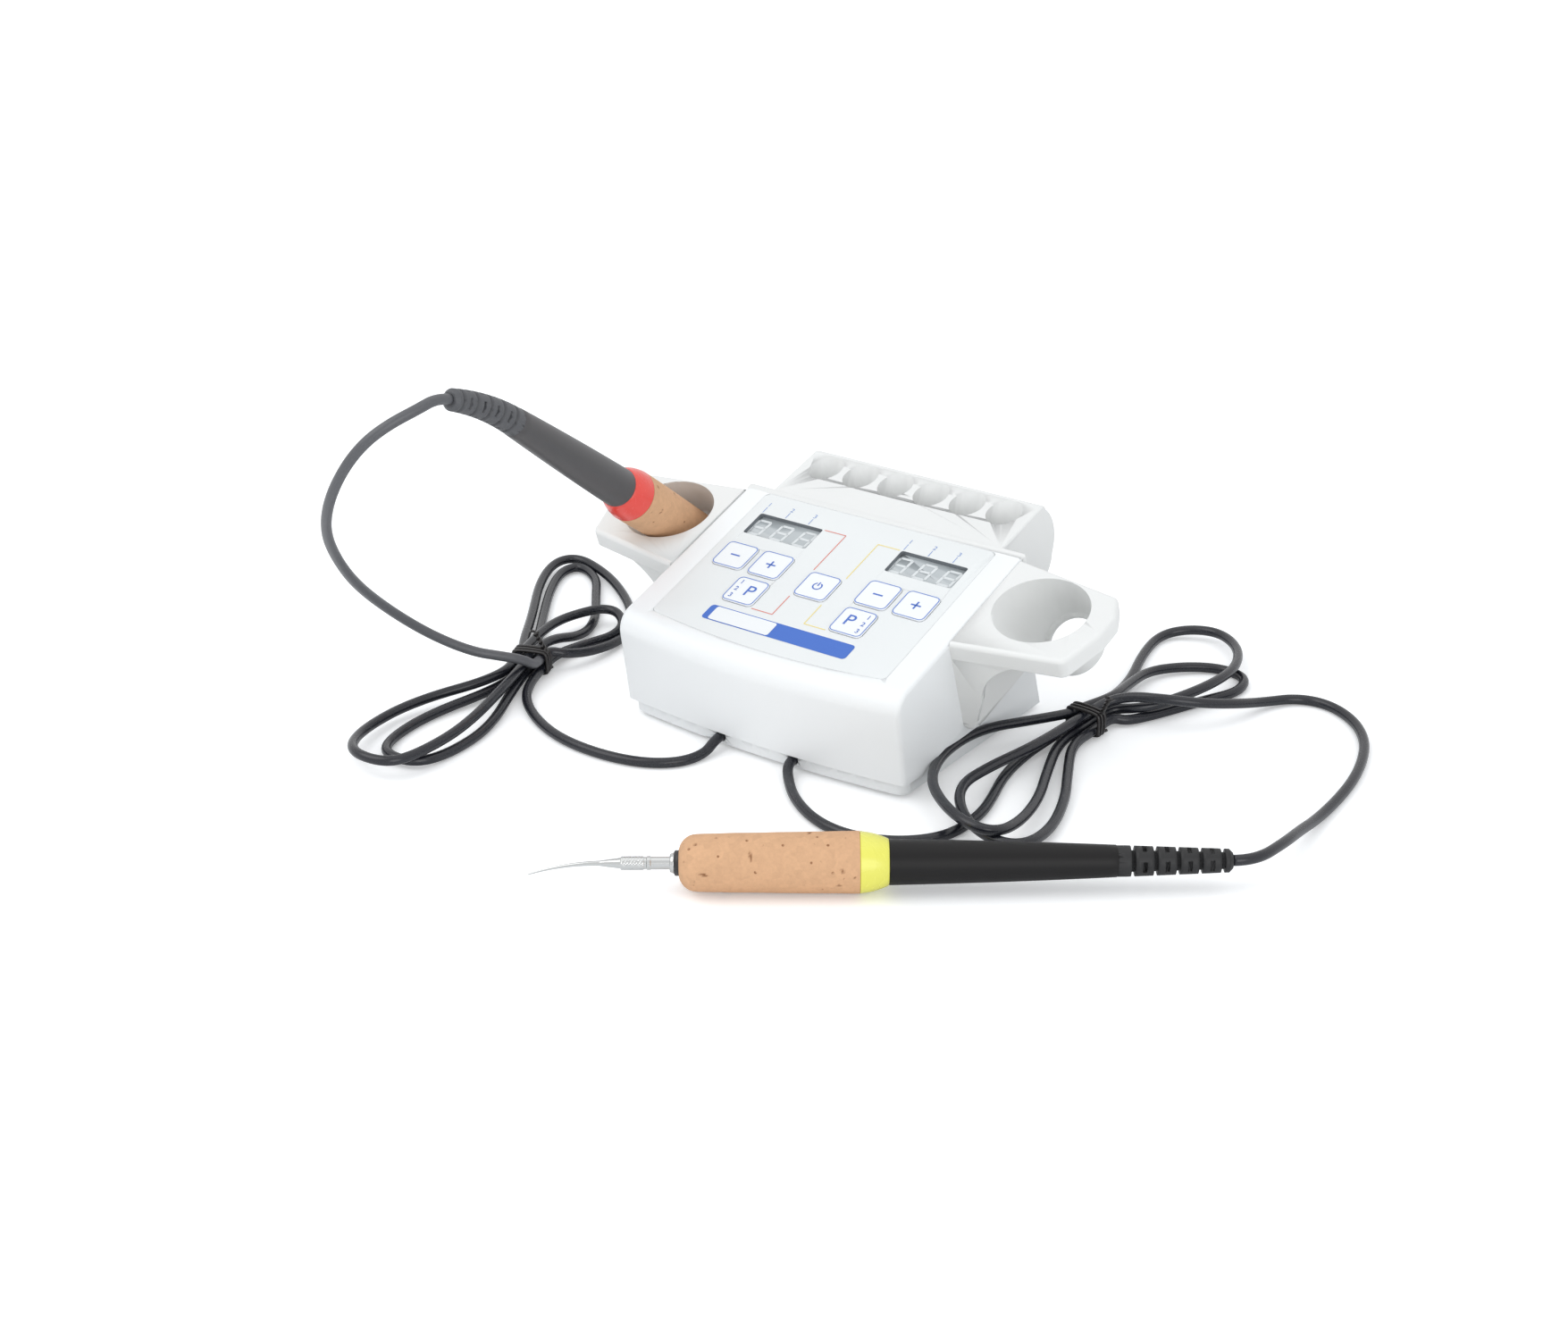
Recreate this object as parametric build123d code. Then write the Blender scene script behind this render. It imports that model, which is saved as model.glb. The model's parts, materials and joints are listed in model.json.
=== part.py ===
from build123d import *
import math
import os

# Electric wax spatula: a bench station with two corded cork handpieces
# Millimetres. X to the right of the panel, Y to the rear, Z up, bench at Z = 0
# The origin is on the bench under the middle of the station

os.makedirs("parts", exist_ok=True)

# Panel: a tilted frame with U to the right, V up the slope and N out of the panel
TILT = 17.43
PANEL_Y = -7.0
PANEL_Z = 47.2
SIN_T = math.sin(math.radians(TILT))
COS_T = math.cos(math.radians(TILT))
PANEL = Plane(origin=(0, PANEL_Y, PANEL_Z), x_dir=(1, 0, 0), z_dir=(0, -SIN_T, COS_T))

# Station shells
HALF_W = 52.3
WALL = 2.2
TOP_WALL = 2.8
FRONT_FOOT = -39.0
FRONT_LEAN = 0.155
FRONT_BOW = 3.5
REAR_V = 31.8
FRONT_ROUND = 7.0
EDGE_ROUND = 1.6
SEAM_Z = 5.8
SEAM_BREAK_Y = -32.0
SEAM_SLOPE = 14.5
FLOOR_LOW = 1.5
FLOOR_THICK = 2.2
BASE_INSET = 1.1
TONGUE_UP = 1.8
TONGUE_GAP = 0.15
BASE_WALL_INSET = 3.4

# Keypad foil and keys
FOIL_HALF = 43.4
FOIL_FRONT_V = -32.2
FOIL_BOW = 3.3
FOIL_REAR_V = 31.6
FOIL_THICK = 0.8
FOIL_GAP = 0.12
KEY = 12.0
KEY_ROUND = 2.0
KEY_GAP = 0.15
KEY_PROUD = 0.5
KEY_SINK = 0.3
STEM_R = 1.8
STEM_GAP = 0.3
KEY_PITCH = 13.8
KEY_INNER_U = 20.13
POWER_V = -3.48

# Displays
DISPLAY_U = 27.04
DISPLAY_V = 16.6
DISPLAY_W = 24.4
DISPLAY_H = 10.55
DISPLAY_FACE = 1.4
WINDOW_GAP = 0.2

# Circuit board and what sits on it
BOARD_TOP = 8.5
BOARD_THICK = 1.6
BOARD_HALF = 38.0
BOARD_V0 = -27.0
BOARD_V1 = 25.0
SWITCH = 6.0
SWITCH_H = 3.5
PLUNGER_R = 1.7
PLUNGER_GAP = 0.5
BOARD_SCREW_SPOTS = ((-34, -22), (34, -22), (-9, 20), (9, 20))

# Screw posts and feet
POST_X = 44.0
POST_YS = (-31.0, 24.0)
POST_R = 4.4
POST_ABOVE_SEAM = 3.0
POST_GRIP = 4.0
SCREW_L = 12.0
SCREW_R = 1.5
HEAD_R = 2.9
HEAD_H = 2.4
FIT = 0.05
FOOT_R = 5.0
FOOT_SEAT = 0.5
FOOT_X = 35.0
FOOT_YS = (-29.0, 29.0)

# Tip rack
RACK_HALF = 43.5
RACK_RIDGE_V = 59.6
RACK_DROP = 28.0
STRIP_V = 2.8
STRIP_DEEP = 5.0
POCKET_R = 5.65
POCKET_LEAN = 34.0
POCKET_V = 51.4
POCKET_DEEP = 11.5
POCKET_PITCH = 13.6

# Cork grips, which seat in the holders
CORK_R = 8.65
CORK_L = 49.9
CORK_ROUND = 5.0

# Holders
PLATE_THICK = 6.5
PLATE_FRONT_V = -11.2
PLATE_SKEW = 8.6
PLATE_OUT = 35.7
PLATE_NOSE = 4.0
MOUTH_OUT = 17.7
MOUTH_U = HALF_W + MOUTH_OUT
MOUTH_V = 12.6
MOUTH_R = 14.9
MOUTH_ROUND = 1.2
BORE_V = 9.0
BORE_PITCH = 36.5
BORE_SPLAY = 4.0
FUNNEL_CLEAR = 0.7
FUNNEL_R = CORK_R + FUNNEL_CLEAR
LEDGE_L = 26.2
LIP = 1.5
LIP_BITE = 0.55
LIP_R = CORK_R - LIP_BITE
FUNNEL_WALL = 2.1
FLANGE = 3.4
FLANGE_DEEP = 34.0

# Handpieces, measured along the axis from the front face of the cork
RING_L = 8.1
RING_R = 6.5
HANDLE_L = 62.9
HANDLE_R = 4.5
BOOT_L = 31.8
BOOT_R0 = 4.35
BOOT_R1 = 3.2
GROOVE_PITCH = 6.2
GROOVE_W = 1.2
GROOVES = 5
CORE_R = 3.0
CORE_BORE = 2.2
CORE_L = 96.0
NOSE_R = 3.55
NOSE_L = 1.2
SHAFT_R = 1.8
SHAFT_L = 7.1
KNURL_R = 1.95
KNURL_L = 6.6
TAPER_L = 5.7
POINT_L = 20.0
PIN_R = 1.3
PIN_L = 11.0
RUN = 0.05
SEAT_GAP = 0.35
YELLOW_FRONT = (28.9, -117.5)
YELLOW_YAW = 35.9

# Cords
CORD_D = 3.2
CORD_R = CORD_D / 2
CORD_Z = 1.65
LEFT_SLOT_X = -14.3
RIGHT_SLOT_X = 13.0
SLOT_W = 3.9
SLOT_CORD_Z = 4.1
STRAND = 3.8
TIE_D = 1.0


def wall(e):
    """Distance between the panel frame's rear plane V and the world Y at a height"""
    return PANEL_Y + (e[0] - (e[1] - PANEL_Z) * SIN_T) / COS_T


def at_panel(u, v, n):
    """World point of a point given in the panel frame"""
    return Vector(u, PANEL_Y + v * COS_T - n * SIN_T, PANEL_Z + v * SIN_T + n * COS_T)


def box(u0, u1, v0, v1, w0, w1):
    """Block from its lowest to its highest corner"""
    block = Box(u1 - u0, v1 - v0, w1 - w0, align=(Align.MIN, Align.MIN, Align.MIN))
    return Pos(u0, v0, w0) * block


def rod(x, y, z0, z1, r):
    """Upright cylinder between two heights"""
    return Pos(x, y, z0) * Cylinder(r, z1 - z0, align=(Align.CENTER, Align.CENTER, Align.MIN))


def turned(*outline):
    """Solid turned about the Z axis from an outline of radius and height"""
    face = Plane.XZ * make_face(Polyline(*outline, close=True))
    return revolve(face, Axis.Z)


def save(shape, name):
    """Write one piece, or one group of like pieces, to its own file"""
    shape.label = name
    export_step(shape, f"parts/{name}.step")
    print(name, round(shape.volume, 1))


# Housing forms
def station_form(inset, top):
    """The station's outer or inner form: bowed leaning front, upright sides, rear square to the panel"""
    half = HALF_W - inset
    sections = []
    for z in (0.0, 75.0):
        front = FRONT_FOOT - FRONT_LEAN * z + inset
        rear = wall((REAR_V - inset, z))
        bowed = ThreePointArc((-half, front), (0, front - FRONT_BOW), (half, front))
        sides = Polyline((half, front), (half, rear), (-half, rear), (-half, front))
        sections.append(Pos(0, 0, z) * make_face([bowed, sides]))
    form = loft(sections, ruled=True)
    lid = PANEL * box(-90, 90, -120, 120, -top, 120)
    return form - lid


def below_seam(lift):
    """Space under the line where the two shells meet, raised by a lift"""
    rise = math.tan(math.radians(SEAM_SLOPE))
    far = 70.0
    line = Polyline(
        (-far, -5),
        (far, -5),
        (far, SEAM_Z + lift + (far - SEAM_BREAK_Y) * rise),
        (SEAM_BREAK_Y, SEAM_Z + lift),
        (-far, SEAM_Z + lift),
        close=True,
    )
    return extrude(Plane.YZ * make_face(line), amount=90, both=True)


def seam_height(y):
    """Height of the line where the two shells meet"""
    return SEAM_Z + max(0.0, y - SEAM_BREAK_Y) * math.tan(math.radians(SEAM_SLOPE))


def post_spots():
    """Screw posts: place across, place along and the height where the lower one meets the upper"""
    return [(sx * POST_X, y, seam_height(y) + POST_ABOVE_SEAM) for sx in (-1, 1) for y in POST_YS]


def upper_housing():
    """Top shell with the panel recess, key holes, display windows, board bosses and screw posts"""
    outer = station_form(0, 0)
    front = sorted(outer.faces().sort_by(Axis.Y)[0].edges(), key=lambda e: e.center().Z)[-1]
    outer = fillet(front, FRONT_ROUND)
    chains = [
        e
        for e in outer.edges()
        if abs(abs(e.center().X) - HALF_W) < 0.3 and e.center().Z > 2 and e.center().Y < 30
    ]
    outer = fillet(chains, EDGE_ROUND)
    shell = outer - station_form(WALL, TOP_WALL)
    posts = [rod(x, y, split, 75, POST_R) for x, y, split in post_spots()]
    bosses = [PANEL * rod(u, v, -BOARD_TOP, -1.5, 2.6) for u, v in BOARD_SCREW_SPOTS]
    shell += [p & outer for p in posts + bosses]
    shell -= below_seam(0)
    shell -= [rod(x, y, 0, split + SCREW_L, SCREW_R + FIT) for x, y, split in post_spots()]
    shell -= [PANEL * rod(u, v, -BOARD_TOP - 1, -3.6, 1.2 + FIT) for u, v in BOARD_SCREW_SPOTS]
    shell -= PANEL * foil_form(FOIL_GAP, -FOIL_THICK, 5)
    for u, v in key_spots().values():
        shell -= PANEL * rod(u, v, -TOP_WALL - 1, 1, STEM_R + STEM_GAP)
    for side in (-1, 1):
        shell -= PANEL * display_block(side, WINDOW_GAP, -TOP_WALL - 1, 1)
        shell -= holder_screw_holes(side)
    shell -= rack_screw_holes()
    return shell


def foil_form(gap, n0, n1):
    """Foil outline with its bowed front edge, grown by a gap"""
    half = FOIL_HALF + gap
    front = FOIL_FRONT_V - gap
    rear = FOIL_REAR_V + gap
    bowed = ThreePointArc((-half, front), (0, front - FOIL_BOW), (half, front))
    sides = Polyline((half, front), (half, rear), (-half, rear), (-half, front))
    face = make_face([bowed, sides])
    face = fillet(face.vertices(), 1.8)
    return extrude(Pos(0, 0, n0) * face, amount=n1 - n0)


def key_spots():
    """Key names and their places on the panel"""
    outer = KEY_INNER_U + KEY_PITCH
    return {
        "key_left_minus": (-outer, 0),
        "key_left_plus": (-KEY_INNER_U, 0),
        "key_left_program": (-KEY_INNER_U, -KEY_PITCH),
        "key_power": (0, POWER_V),
        "key_right_minus": (KEY_INNER_U, 0),
        "key_right_plus": (outer, 0),
        "key_right_program": (KEY_INNER_U, -KEY_PITCH),
    }


def display_block(side, grow, n0, n1):
    """Display outline as a block with rounded corners"""
    face = RectangleRounded(DISPLAY_W + 2 * grow, DISPLAY_H + 2 * grow, 0.8)
    return extrude(Pos(side * DISPLAY_U, DISPLAY_V, n0) * face, amount=n1 - n0)


def lower_housing():
    """Base tray with its tongue, screw posts, foot seats, cord slots and rear socket hole"""
    outer = station_form(BASE_INSET, 0) & below_seam(0)
    corners = [e for e in outer.edges() if abs(e.center().X) > HALF_W - 3 and e.center().Y < -30 and e.length < 12]
    uprights = [e for e in corners if abs(e.tangent_at(0.5).Z) > 0.8]
    outer = fillet(uprights, 4.0)
    tongue = station_form(WALL + TONGUE_GAP, TOP_WALL + 1) & below_seam(TONGUE_UP)
    hollow = station_form(BASE_WALL_INSET, TOP_WALL) - box(-90, 90, -90, 90, -1, FLOOR_LOW + FLOOR_THICK)
    tray = outer + tongue - hollow - box(-90, 90, -90, 90, -1, FLOOR_LOW)
    for x, y, split in post_spots():
        tray += rod(x, y, FLOOR_LOW, split, POST_R)
        tray -= rod(x, y, 0, split + 1, SCREW_R + 0.15)
        tray -= rod(x, y, 0, split - POST_GRIP, HEAD_R + 0.3)
    for sx in (-1, 1):
        for y in FOOT_YS:
            tray -= rod(sx * FOOT_X, y, 0, FLOOR_LOW + FOOT_SEAT, FOOT_R + 0.1)
    for x in (LEFT_SLOT_X, RIGHT_SLOT_X):
        tray -= Pos(x, CLAMP_Y0 + 2, SLOT_CORD_Z) * Rot(90, 0, 0) * rod(0, 0, 0, 12, SLOT_W / 2)
        tray -= box(x - SLOT_W / 2, x + SLOT_W / 2, CLAMP_Y0 - 10, CLAMP_Y0 + 2, SLOT_CORD_Z, 9)
        half = CLAMP_HALF + FIT
        tray -= box(x - half, x + half, CLAMP_Y0, CLAMP_Y1 + FIT, CLAMP_LOW, 12)
    tray -= socket_place() * rod(0, 0, -12, 6, SOCKET_R + 0.2)
    return tray


# Rear socket
SOCKET_R = 5.2
SOCKET_X = -26.0
SOCKET_Z = 11.5
SOCKET_DEEP = 12.0


def socket_place():
    """Frame on the rear wall of the base, with Z pointing out of the wall"""
    y = wall((REAR_V - BASE_INSET, SOCKET_Z))
    return Plane(origin=(SOCKET_X, y, SOCKET_Z), x_dir=(1, 0, 0), z_dir=(0, COS_T, SIN_T))


def power_socket():
    """Low-voltage inlet: barrel with a flange outside, a bore and a centre pin"""
    body = rod(0, 0, -SOCKET_DEEP, 0.9, SOCKET_R)
    body += rod(0, 0, 0, 0.9, SOCKET_R + 1.1)
    body -= rod(0, 0, -9, 2, 2.9)
    body += rod(0, 0, -10, -1.5, 1.0)
    return socket_place() * body


# Tip rack
def tip_rack():
    """Rear rack with a rolled ridge, a swelling back and six scooped pockets"""
    start = REAR_V
    back_low = (61.0, -21.4)
    top = Polyline((start, -RACK_DROP), (start, -0.4), (RACK_RIDGE_V - 1.5, -1.6))
    ridge = ThreePointArc((RACK_RIDGE_V - 1.5, -1.6), (RACK_RIDGE_V + 0.4, -2.3), (RACK_RIDGE_V + 1.3, -4.2))
    back = ThreePointArc((RACK_RIDGE_V + 1.3, -4.2), (63.9, -14.5), back_low)
    under = ThreePointArc(back_low, (57.6, -26.0), (52.0, -RACK_DROP))
    foot = Line((52.0, -RACK_DROP), (start, -RACK_DROP))
    face = Plane.YZ * make_face([top, ridge, back, under, foot])
    block = extrude(face, amount=RACK_HALF, both=True)
    ends = [e for e in block.edges() if abs(abs(e.center().X) - RACK_HALF) < 0.01 and e.center().Y > start + 1]
    block = fillet(ends, 0.8)
    strip = box(-HALF_W, HALF_W, start, start + STRIP_V, -STRIP_DEEP, -0.4)
    strip = fillet(strip.edges().filter_by(Axis.Z), 1.0)
    block += strip
    for i in range(6):
        u = (i - 2.5) * POCKET_PITCH
        lean = Pos(u, POCKET_V, -1.4) * Rot(-POCKET_LEAN, 0, 0)
        pocket = lean * rod(0, 0, -POCKET_DEEP, 16, POCKET_R)
        pocket += lean * Pos(0, 0, -POCKET_DEEP) * Sphere(POCKET_R)
        block -= pocket
    block -= [Pos(u, start, -14) * Rot(-90, 0, 0) * rod(0, 0, -1, 9, SCREW_R + FIT) for u in RACK_SCREW_US]
    return PANEL * block


RACK_SCREW_US = (-30.0, 30.0)


def rack_screw_holes():
    """Clearance holes for the rack screws in the rear wall"""
    holes = [Pos(u, REAR_V, -14) * Rot(-90, 0, 0) * rod(0, 0, -6, 2, SCREW_R + 0.15) for u in RACK_SCREW_US]
    return PANEL * Compound(holes)


def screw(length):
    """Pan-head screw, head under Z = 0 and shank upwards"""
    head = chamfer(rod(0, 0, -HEAD_H, 0, HEAD_R).edges().sort_by(Axis.Z)[0], 0.8)
    body = head + rod(0, 0, 0, length, SCREW_R)
    slot = box(-0.4, 0.4, -HEAD_R, HEAD_R, -HEAD_H, -HEAD_H + 0.9)
    return body - slot - Rot(0, 0, 90) * slot


def rack_screws():
    """Screws through the rear wall into the rack"""
    spots = [Pos(u, REAR_V - WALL, -14) * Rot(-90, 0, 0) * screw(WALL + 8) for u in RACK_SCREW_US]
    return PANEL * Compound(spots)


# Holders
HOLDER_SCREWS = ((2.0, -24.0), (18.0, -24.0))


def bore_axis(side):
    """Direction of a holder's bore, down and to the rear"""
    pitch = math.radians(BORE_PITCH)
    splay = math.radians(BORE_SPLAY)
    level = math.cos(pitch)
    return Vector(side * math.sin(splay) * level, math.cos(splay) * level, -math.sin(pitch))


def bore_plane(side, along):
    """Plane square to a holder's bore, at a distance from the panel surface"""
    way = bore_axis(side)
    start = at_panel(side * MOUTH_U, BORE_V, 0)
    return Plane(origin=start + way * along, x_dir=(1, 0, 0), z_dir=way)


def funnel(grow, n_top, along, r_low):
    """Funnel from the round mouth in the plate to the oblique bore"""
    mouth = PANEL * Pos(MOUTH_U, MOUTH_V, n_top) * Circle(MOUTH_R + grow)
    low = bore_plane(1, along) * Circle(r_low)
    return loft([mouth, low])


def holder_right():
    """Handpiece holder: plate, slanted front gusset, side flange and oblique funnel in one moulding"""
    edge = math.tan(math.radians(PLATE_SKEW))
    outline = Polyline(
        (HALF_W, PLATE_FRONT_V),
        (HALF_W + PLATE_OUT, PLATE_FRONT_V + PLATE_OUT * edge),
        (HALF_W + PLATE_OUT + PLATE_NOSE, 9.5),
        (HALF_W + PLATE_OUT + PLATE_NOSE, 18.5),
        (HALF_W + PLATE_OUT + 0.4, 26.6),
        (HALF_W, 31.6),
        close=True,
    )
    face = make_face(outline)
    far = [p for p in face.vertices() if p.X > HALF_W + PLATE_OUT / 2]
    face = fillet(far, 3.0)
    plate = extrude(face, amount=-PLATE_THICK)
    rim = [e for e in plate.edges() if abs(e.center().Z) < 0.01 and e.center().X > HALF_W + 1]
    plate = fillet(rim, 1.5)
    low = [e for e in plate.edges() if abs(e.center().Z + PLATE_THICK) < 0.01 and e.center().X > HALF_W + 1]
    plate = fillet(low, 0.8)
    down = Line((0, -1), (0, -FLANGE_DEEP + 2.6))
    tip = ThreePointArc((0, -FLANGE_DEEP + 2.6), (1.8, -FLANGE_DEEP + 0.6), (4.1, -FLANGE_DEEP + 3.0))
    shin = Line((4.1, -FLANGE_DEEP + 3.0), (7.3, -22.0))
    knee = ThreePointArc((7.3, -22.0), (10.2, -13.3), (19.5, -6.0))
    top = Polyline((19.5, -6.0), (19.5, -1), (0, -1))
    web = make_face([down, tip, shin, knee, top])
    skew = math.radians(PLATE_SKEW)
    web_plane = Plane(
        origin=(HALF_W, PLATE_FRONT_V + 0.1, 0),
        x_dir=(math.cos(skew), math.sin(skew), 0),
        z_dir=(math.sin(skew), -math.cos(skew), 0),
    )
    gusset = extrude(web_plane * web, amount=-2.8)
    side = Polyline(
        (PLATE_FRONT_V + 1.0, -1),
        (PLATE_FRONT_V + 1.0, -FLANGE_DEEP + 3.0),
        (PLATE_FRONT_V + 3.5, -FLANGE_DEEP),
        (20.0, -FLANGE_DEEP),
        (25.0, -FLANGE_DEEP + 6),
        (25.0, -1),
        close=True,
    )
    flange = extrude(Plane.YZ * make_face(side), amount=FLANGE)
    flange = Pos(HALF_W, 0, 0) * flange
    body = PANEL * (plate + gusset + flange)
    body += funnel(2.0, -PLATE_THICK + 1.5, LEDGE_L + LIP, LIP_R + FUNNEL_WALL)
    body -= bore_plane(1, 0) * rod(0, 0, 10, 60, LIP_R)
    body -= funnel(0, 0, LEDGE_L, FUNNEL_R)
    body -= PANEL * box(0, HALF_W, -60, 60, -60, 20)
    body -= [PANEL * Pos(HALF_W, v, n) * Rot(0, 90, 0) * rod(0, 0, -1, FLANGE - 0.6, SCREW_R + FIT) for v, n in HOLDER_SCREWS]
    return body


def holder_screw_holes(side):
    """Clearance holes for a holder's screws in the housing wall"""
    holes = [Pos(side * HALF_W, v, n) * Rot(0, 90, 0) * rod(0, 0, -5, 5, SCREW_R + 0.15) for v, n in HOLDER_SCREWS]
    return PANEL * Compound(holes)


def holder_screws():
    """Screws from inside the housing into both holders"""
    right = [Pos(HALF_W - WALL, v, n) * Rot(0, 90, 0) * screw(WALL + FLANGE - 0.8) for v, n in HOLDER_SCREWS]
    group = PANEL * Compound(right)
    return Compound(group.solids() + mirror(group, about=Plane.YZ).solids())


# Keypad
def keypad_foil():
    """Membrane with key openings and display windows"""
    foil = foil_form(0, -FOIL_THICK, 0)
    for u, v in key_spots().values():
        opening = RectangleRounded(KEY, KEY, KEY_ROUND)
        foil -= extrude(Pos(u, v, -FOIL_THICK - 1) * opening, amount=3)
    for side in (-1, 1):
        foil -= display_block(side, 0, -FOIL_THICK - 1, 1)
    return PANEL * foil


def key_cap(u, v):
    """Raised key with its stem down to the switch"""
    size = KEY - 2 * KEY_GAP
    cap = extrude(Pos(u, v, -KEY_SINK) * RectangleRounded(size, size, KEY_ROUND - KEY_GAP), amount=KEY_SINK + KEY_PROUD)
    cap = fillet(cap.faces().sort_by(Axis.Z)[-1].edges(), 0.3)
    stem_low = -BOARD_TOP + SWITCH_H + 1.5 + PLUNGER_GAP
    cap += rod(u, v, stem_low, -KEY_SINK, STEM_R)
    return PANEL * cap


# Electronics
def main_board():
    """Circuit board under the panel"""
    board = box(-BOARD_HALF, BOARD_HALF, BOARD_V0, BOARD_V1, -BOARD_TOP - BOARD_THICK, -BOARD_TOP)
    board = fillet(board.edges().filter_by(Axis.Z), 2.0)
    board -= [rod(u, v, -20, 0, 1.4) for u, v in BOARD_SCREW_SPOTS]
    return PANEL * board


def display_module(side):
    """Three-digit display module that stands on the board and looks through the window"""
    body = display_block(side, 0, -BOARD_TOP, -DISPLAY_FACE)
    return PANEL * body


def tact_switches():
    """Seven push switches, one under each key"""
    group = []
    for u, v in key_spots().values():
        half = SWITCH / 2
        body = box(u - half, u + half, v - half, v + half, -BOARD_TOP, -BOARD_TOP + SWITCH_H)
        group.append(body + rod(u, v, -BOARD_TOP + SWITCH_H, -BOARD_TOP + SWITCH_H + 1.5, PLUNGER_R))
    return PANEL * Compound(group)


def under_board(shape):
    """Hang a part, drawn upwards from Z = 0, under the board"""
    return PANEL * Pos(0, 0, -BOARD_TOP - BOARD_THICK) * Rot(180, 0, 0) * shape


def control_chip():
    """Controller in a flat package"""
    return under_board(Pos(0, 0, 0.1) * chamfer(box(-7, 7, -7, 7, -0.1, 1.9).edges().sort_by(Axis.Z)[-4:], 0.4))


def smoothing_capacitor():
    """Upright smoothing capacitor"""
    can = rod(-22, 8, 0, 14, 5)
    return under_board(can - (rod(-22, 8, 2.2, 3.0, 6) - rod(-22, 8, 2, 3.2, 4.6)))


def power_transistors():
    """One heater driver with its cooling tab for each handpiece"""
    group = []
    for u in (-16, 16):
        body = box(u - 5, u + 5, -18, -13.6, 2.0, 11)
        body += box(u - 5, u + 5, -13.6, -12.4, 2.0, 17)
        body += [box(u + s * 2.5 - 0.4, u + s * 2.5 + 0.4, -15.5, -14.8, 0, 2.0) for s in (-1, 0, 1)]
        group.append(body)
    return under_board(Compound(group))


CONNECTOR_V = 18.0


def cord_connectors():
    """Two headers that take the handpiece cords"""
    group = [box(x - 4, x + 4, CONNECTOR_V - 3, CONNECTOR_V + 3, 0, 6) for x in (LEFT_SLOT_X, RIGHT_SLOT_X)]
    return under_board(Compound(group))


def board_screws():
    """Screws that hold the board to its bosses"""
    small = [Pos(u, v, -BOARD_TOP - BOARD_THICK) * (rod(0, 0, -1.8, 0, 2.4) + rod(0, 0, 0, 6.2, 1.2)) for u, v in BOARD_SCREW_SPOTS]
    return PANEL * Compound(small)


def housing_screws():
    """Screws up through the base into the top shell's posts"""
    return Compound([Pos(x, y, split - POST_GRIP) * screw(SCREW_L) for x, y, split in post_spots()])


def rubber_feet():
    """Four feet set into the base"""
    foot = rod(0, 0, 0, FLOOR_LOW + FOOT_SEAT, FOOT_R)
    foot = chamfer(foot.edges().sort_by(Axis.Z)[0], 0.4)
    return Compound([Pos(sx * FOOT_X, y, 0) * foot for sx in (-1, 1) for y in FOOT_YS])


# Cord entries
CLAMP_Y0 = -39.2
CLAMP_Y1 = -31.2
CLAMP_LOW = 2.1
CLAMP_HALF = 4.5


def cord_clamp(x):
    """Rubber clamp behind the front wall that grips the cord"""
    block = box(x - CLAMP_HALF, x + CLAMP_HALF, CLAMP_Y0, CLAMP_Y1, CLAMP_LOW, CLAMP_LOW + 6.5)
    return fillet(block.edges().filter_by(Axis.Y), 1.0)


def inner_cord(x, side):
    """Cord inside the housing, from its clamp to its connector"""
    end = at_panel(x, -CONNECTOR_V, -BOARD_TOP - BOARD_THICK - 6)
    before = at_panel(x, -CONNECTOR_V, -BOARD_TOP - BOARD_THICK - 13)
    route = [
        (x, CLAMP_Y1, SLOT_CORD_Z + 1.0),
        (x, CLAMP_Y1 + 7, SLOT_CORD_Z + 1.0),
        (x + side * 2.5, CLAMP_Y1 + 14, 10.5),
        before,
        end,
    ]
    return tube(route, "inner cord", 1.3)


# Tubes and loops
def tube(route, name, r=CORD_R):
    """Round cord along straight runs joined by arcs as large as the runs allow"""
    points = [Vector(*p) for p in route]
    radii = []
    for a, b, c in zip(points, points[1:], points[2:]):
        turn = math.radians((b - a).get_angle(c - b))
        radii.append(0.45 * min((b - a).length, (c - b).length) / math.tan(turn / 2))
    path = FilletPolyline(*points, radius=radii)
    section = Plane(origin=points[0], z_dir=points[1] - points[0]) * Circle(r)
    solid = sweep(section, path=path)
    share = solid.volume / (math.pi * r * r * path.length)
    print(name, "length", round(path.length, 1), "radii", [round(v, 1) for v in radii])
    print(name, "volume over section times length", round(share, 4))
    return solid


def arc_edge(start, way, end, turned_round=False):
    """Arc that leaves a start along a direction, given in either order"""
    chord = end - start
    across = chord - way * chord.dot(way)
    first, last = (end, start) if turned_round else (start, end)
    if across.length < 1e-6:
        return Edge.make_line(first, last)
    side = across.normalized()
    centre = start + side * (chord.dot(chord) / (2 * chord.dot(side)))
    outward = ((start - centre) + (end - centre)).normalized()
    middle = centre + outward * (start - centre).length
    return Edge.make_three_point_arc(first, middle, last)


def meeting_point(p, s, q, t):
    """Point where two arcs meet that leave P along S and reach Q along T"""
    gap = q - p
    along = gap.dot(s + t)
    bend = 2 * (1 - s.dot(t))
    if bend < 1e-6:
        reach = gap.dot(gap) / (2 * along)
    else:
        reach = (math.sqrt(along * along + bend * gap.dot(gap)) - along) / bend
    return (p + q + (s - t) * reach) * 0.5


def arcs_through(stations):
    """Two arcs between each pair of stations of a point and a direction"""
    edges = []
    for (p, s), (q, t) in zip(stations, stations[1:]):
        middle = meeting_point(p, s, q, t)
        edges.append(arc_edge(p, s, middle))
        edges.append(arc_edge(q, t * -1, middle, turned_round=True))
    return edges


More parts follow.
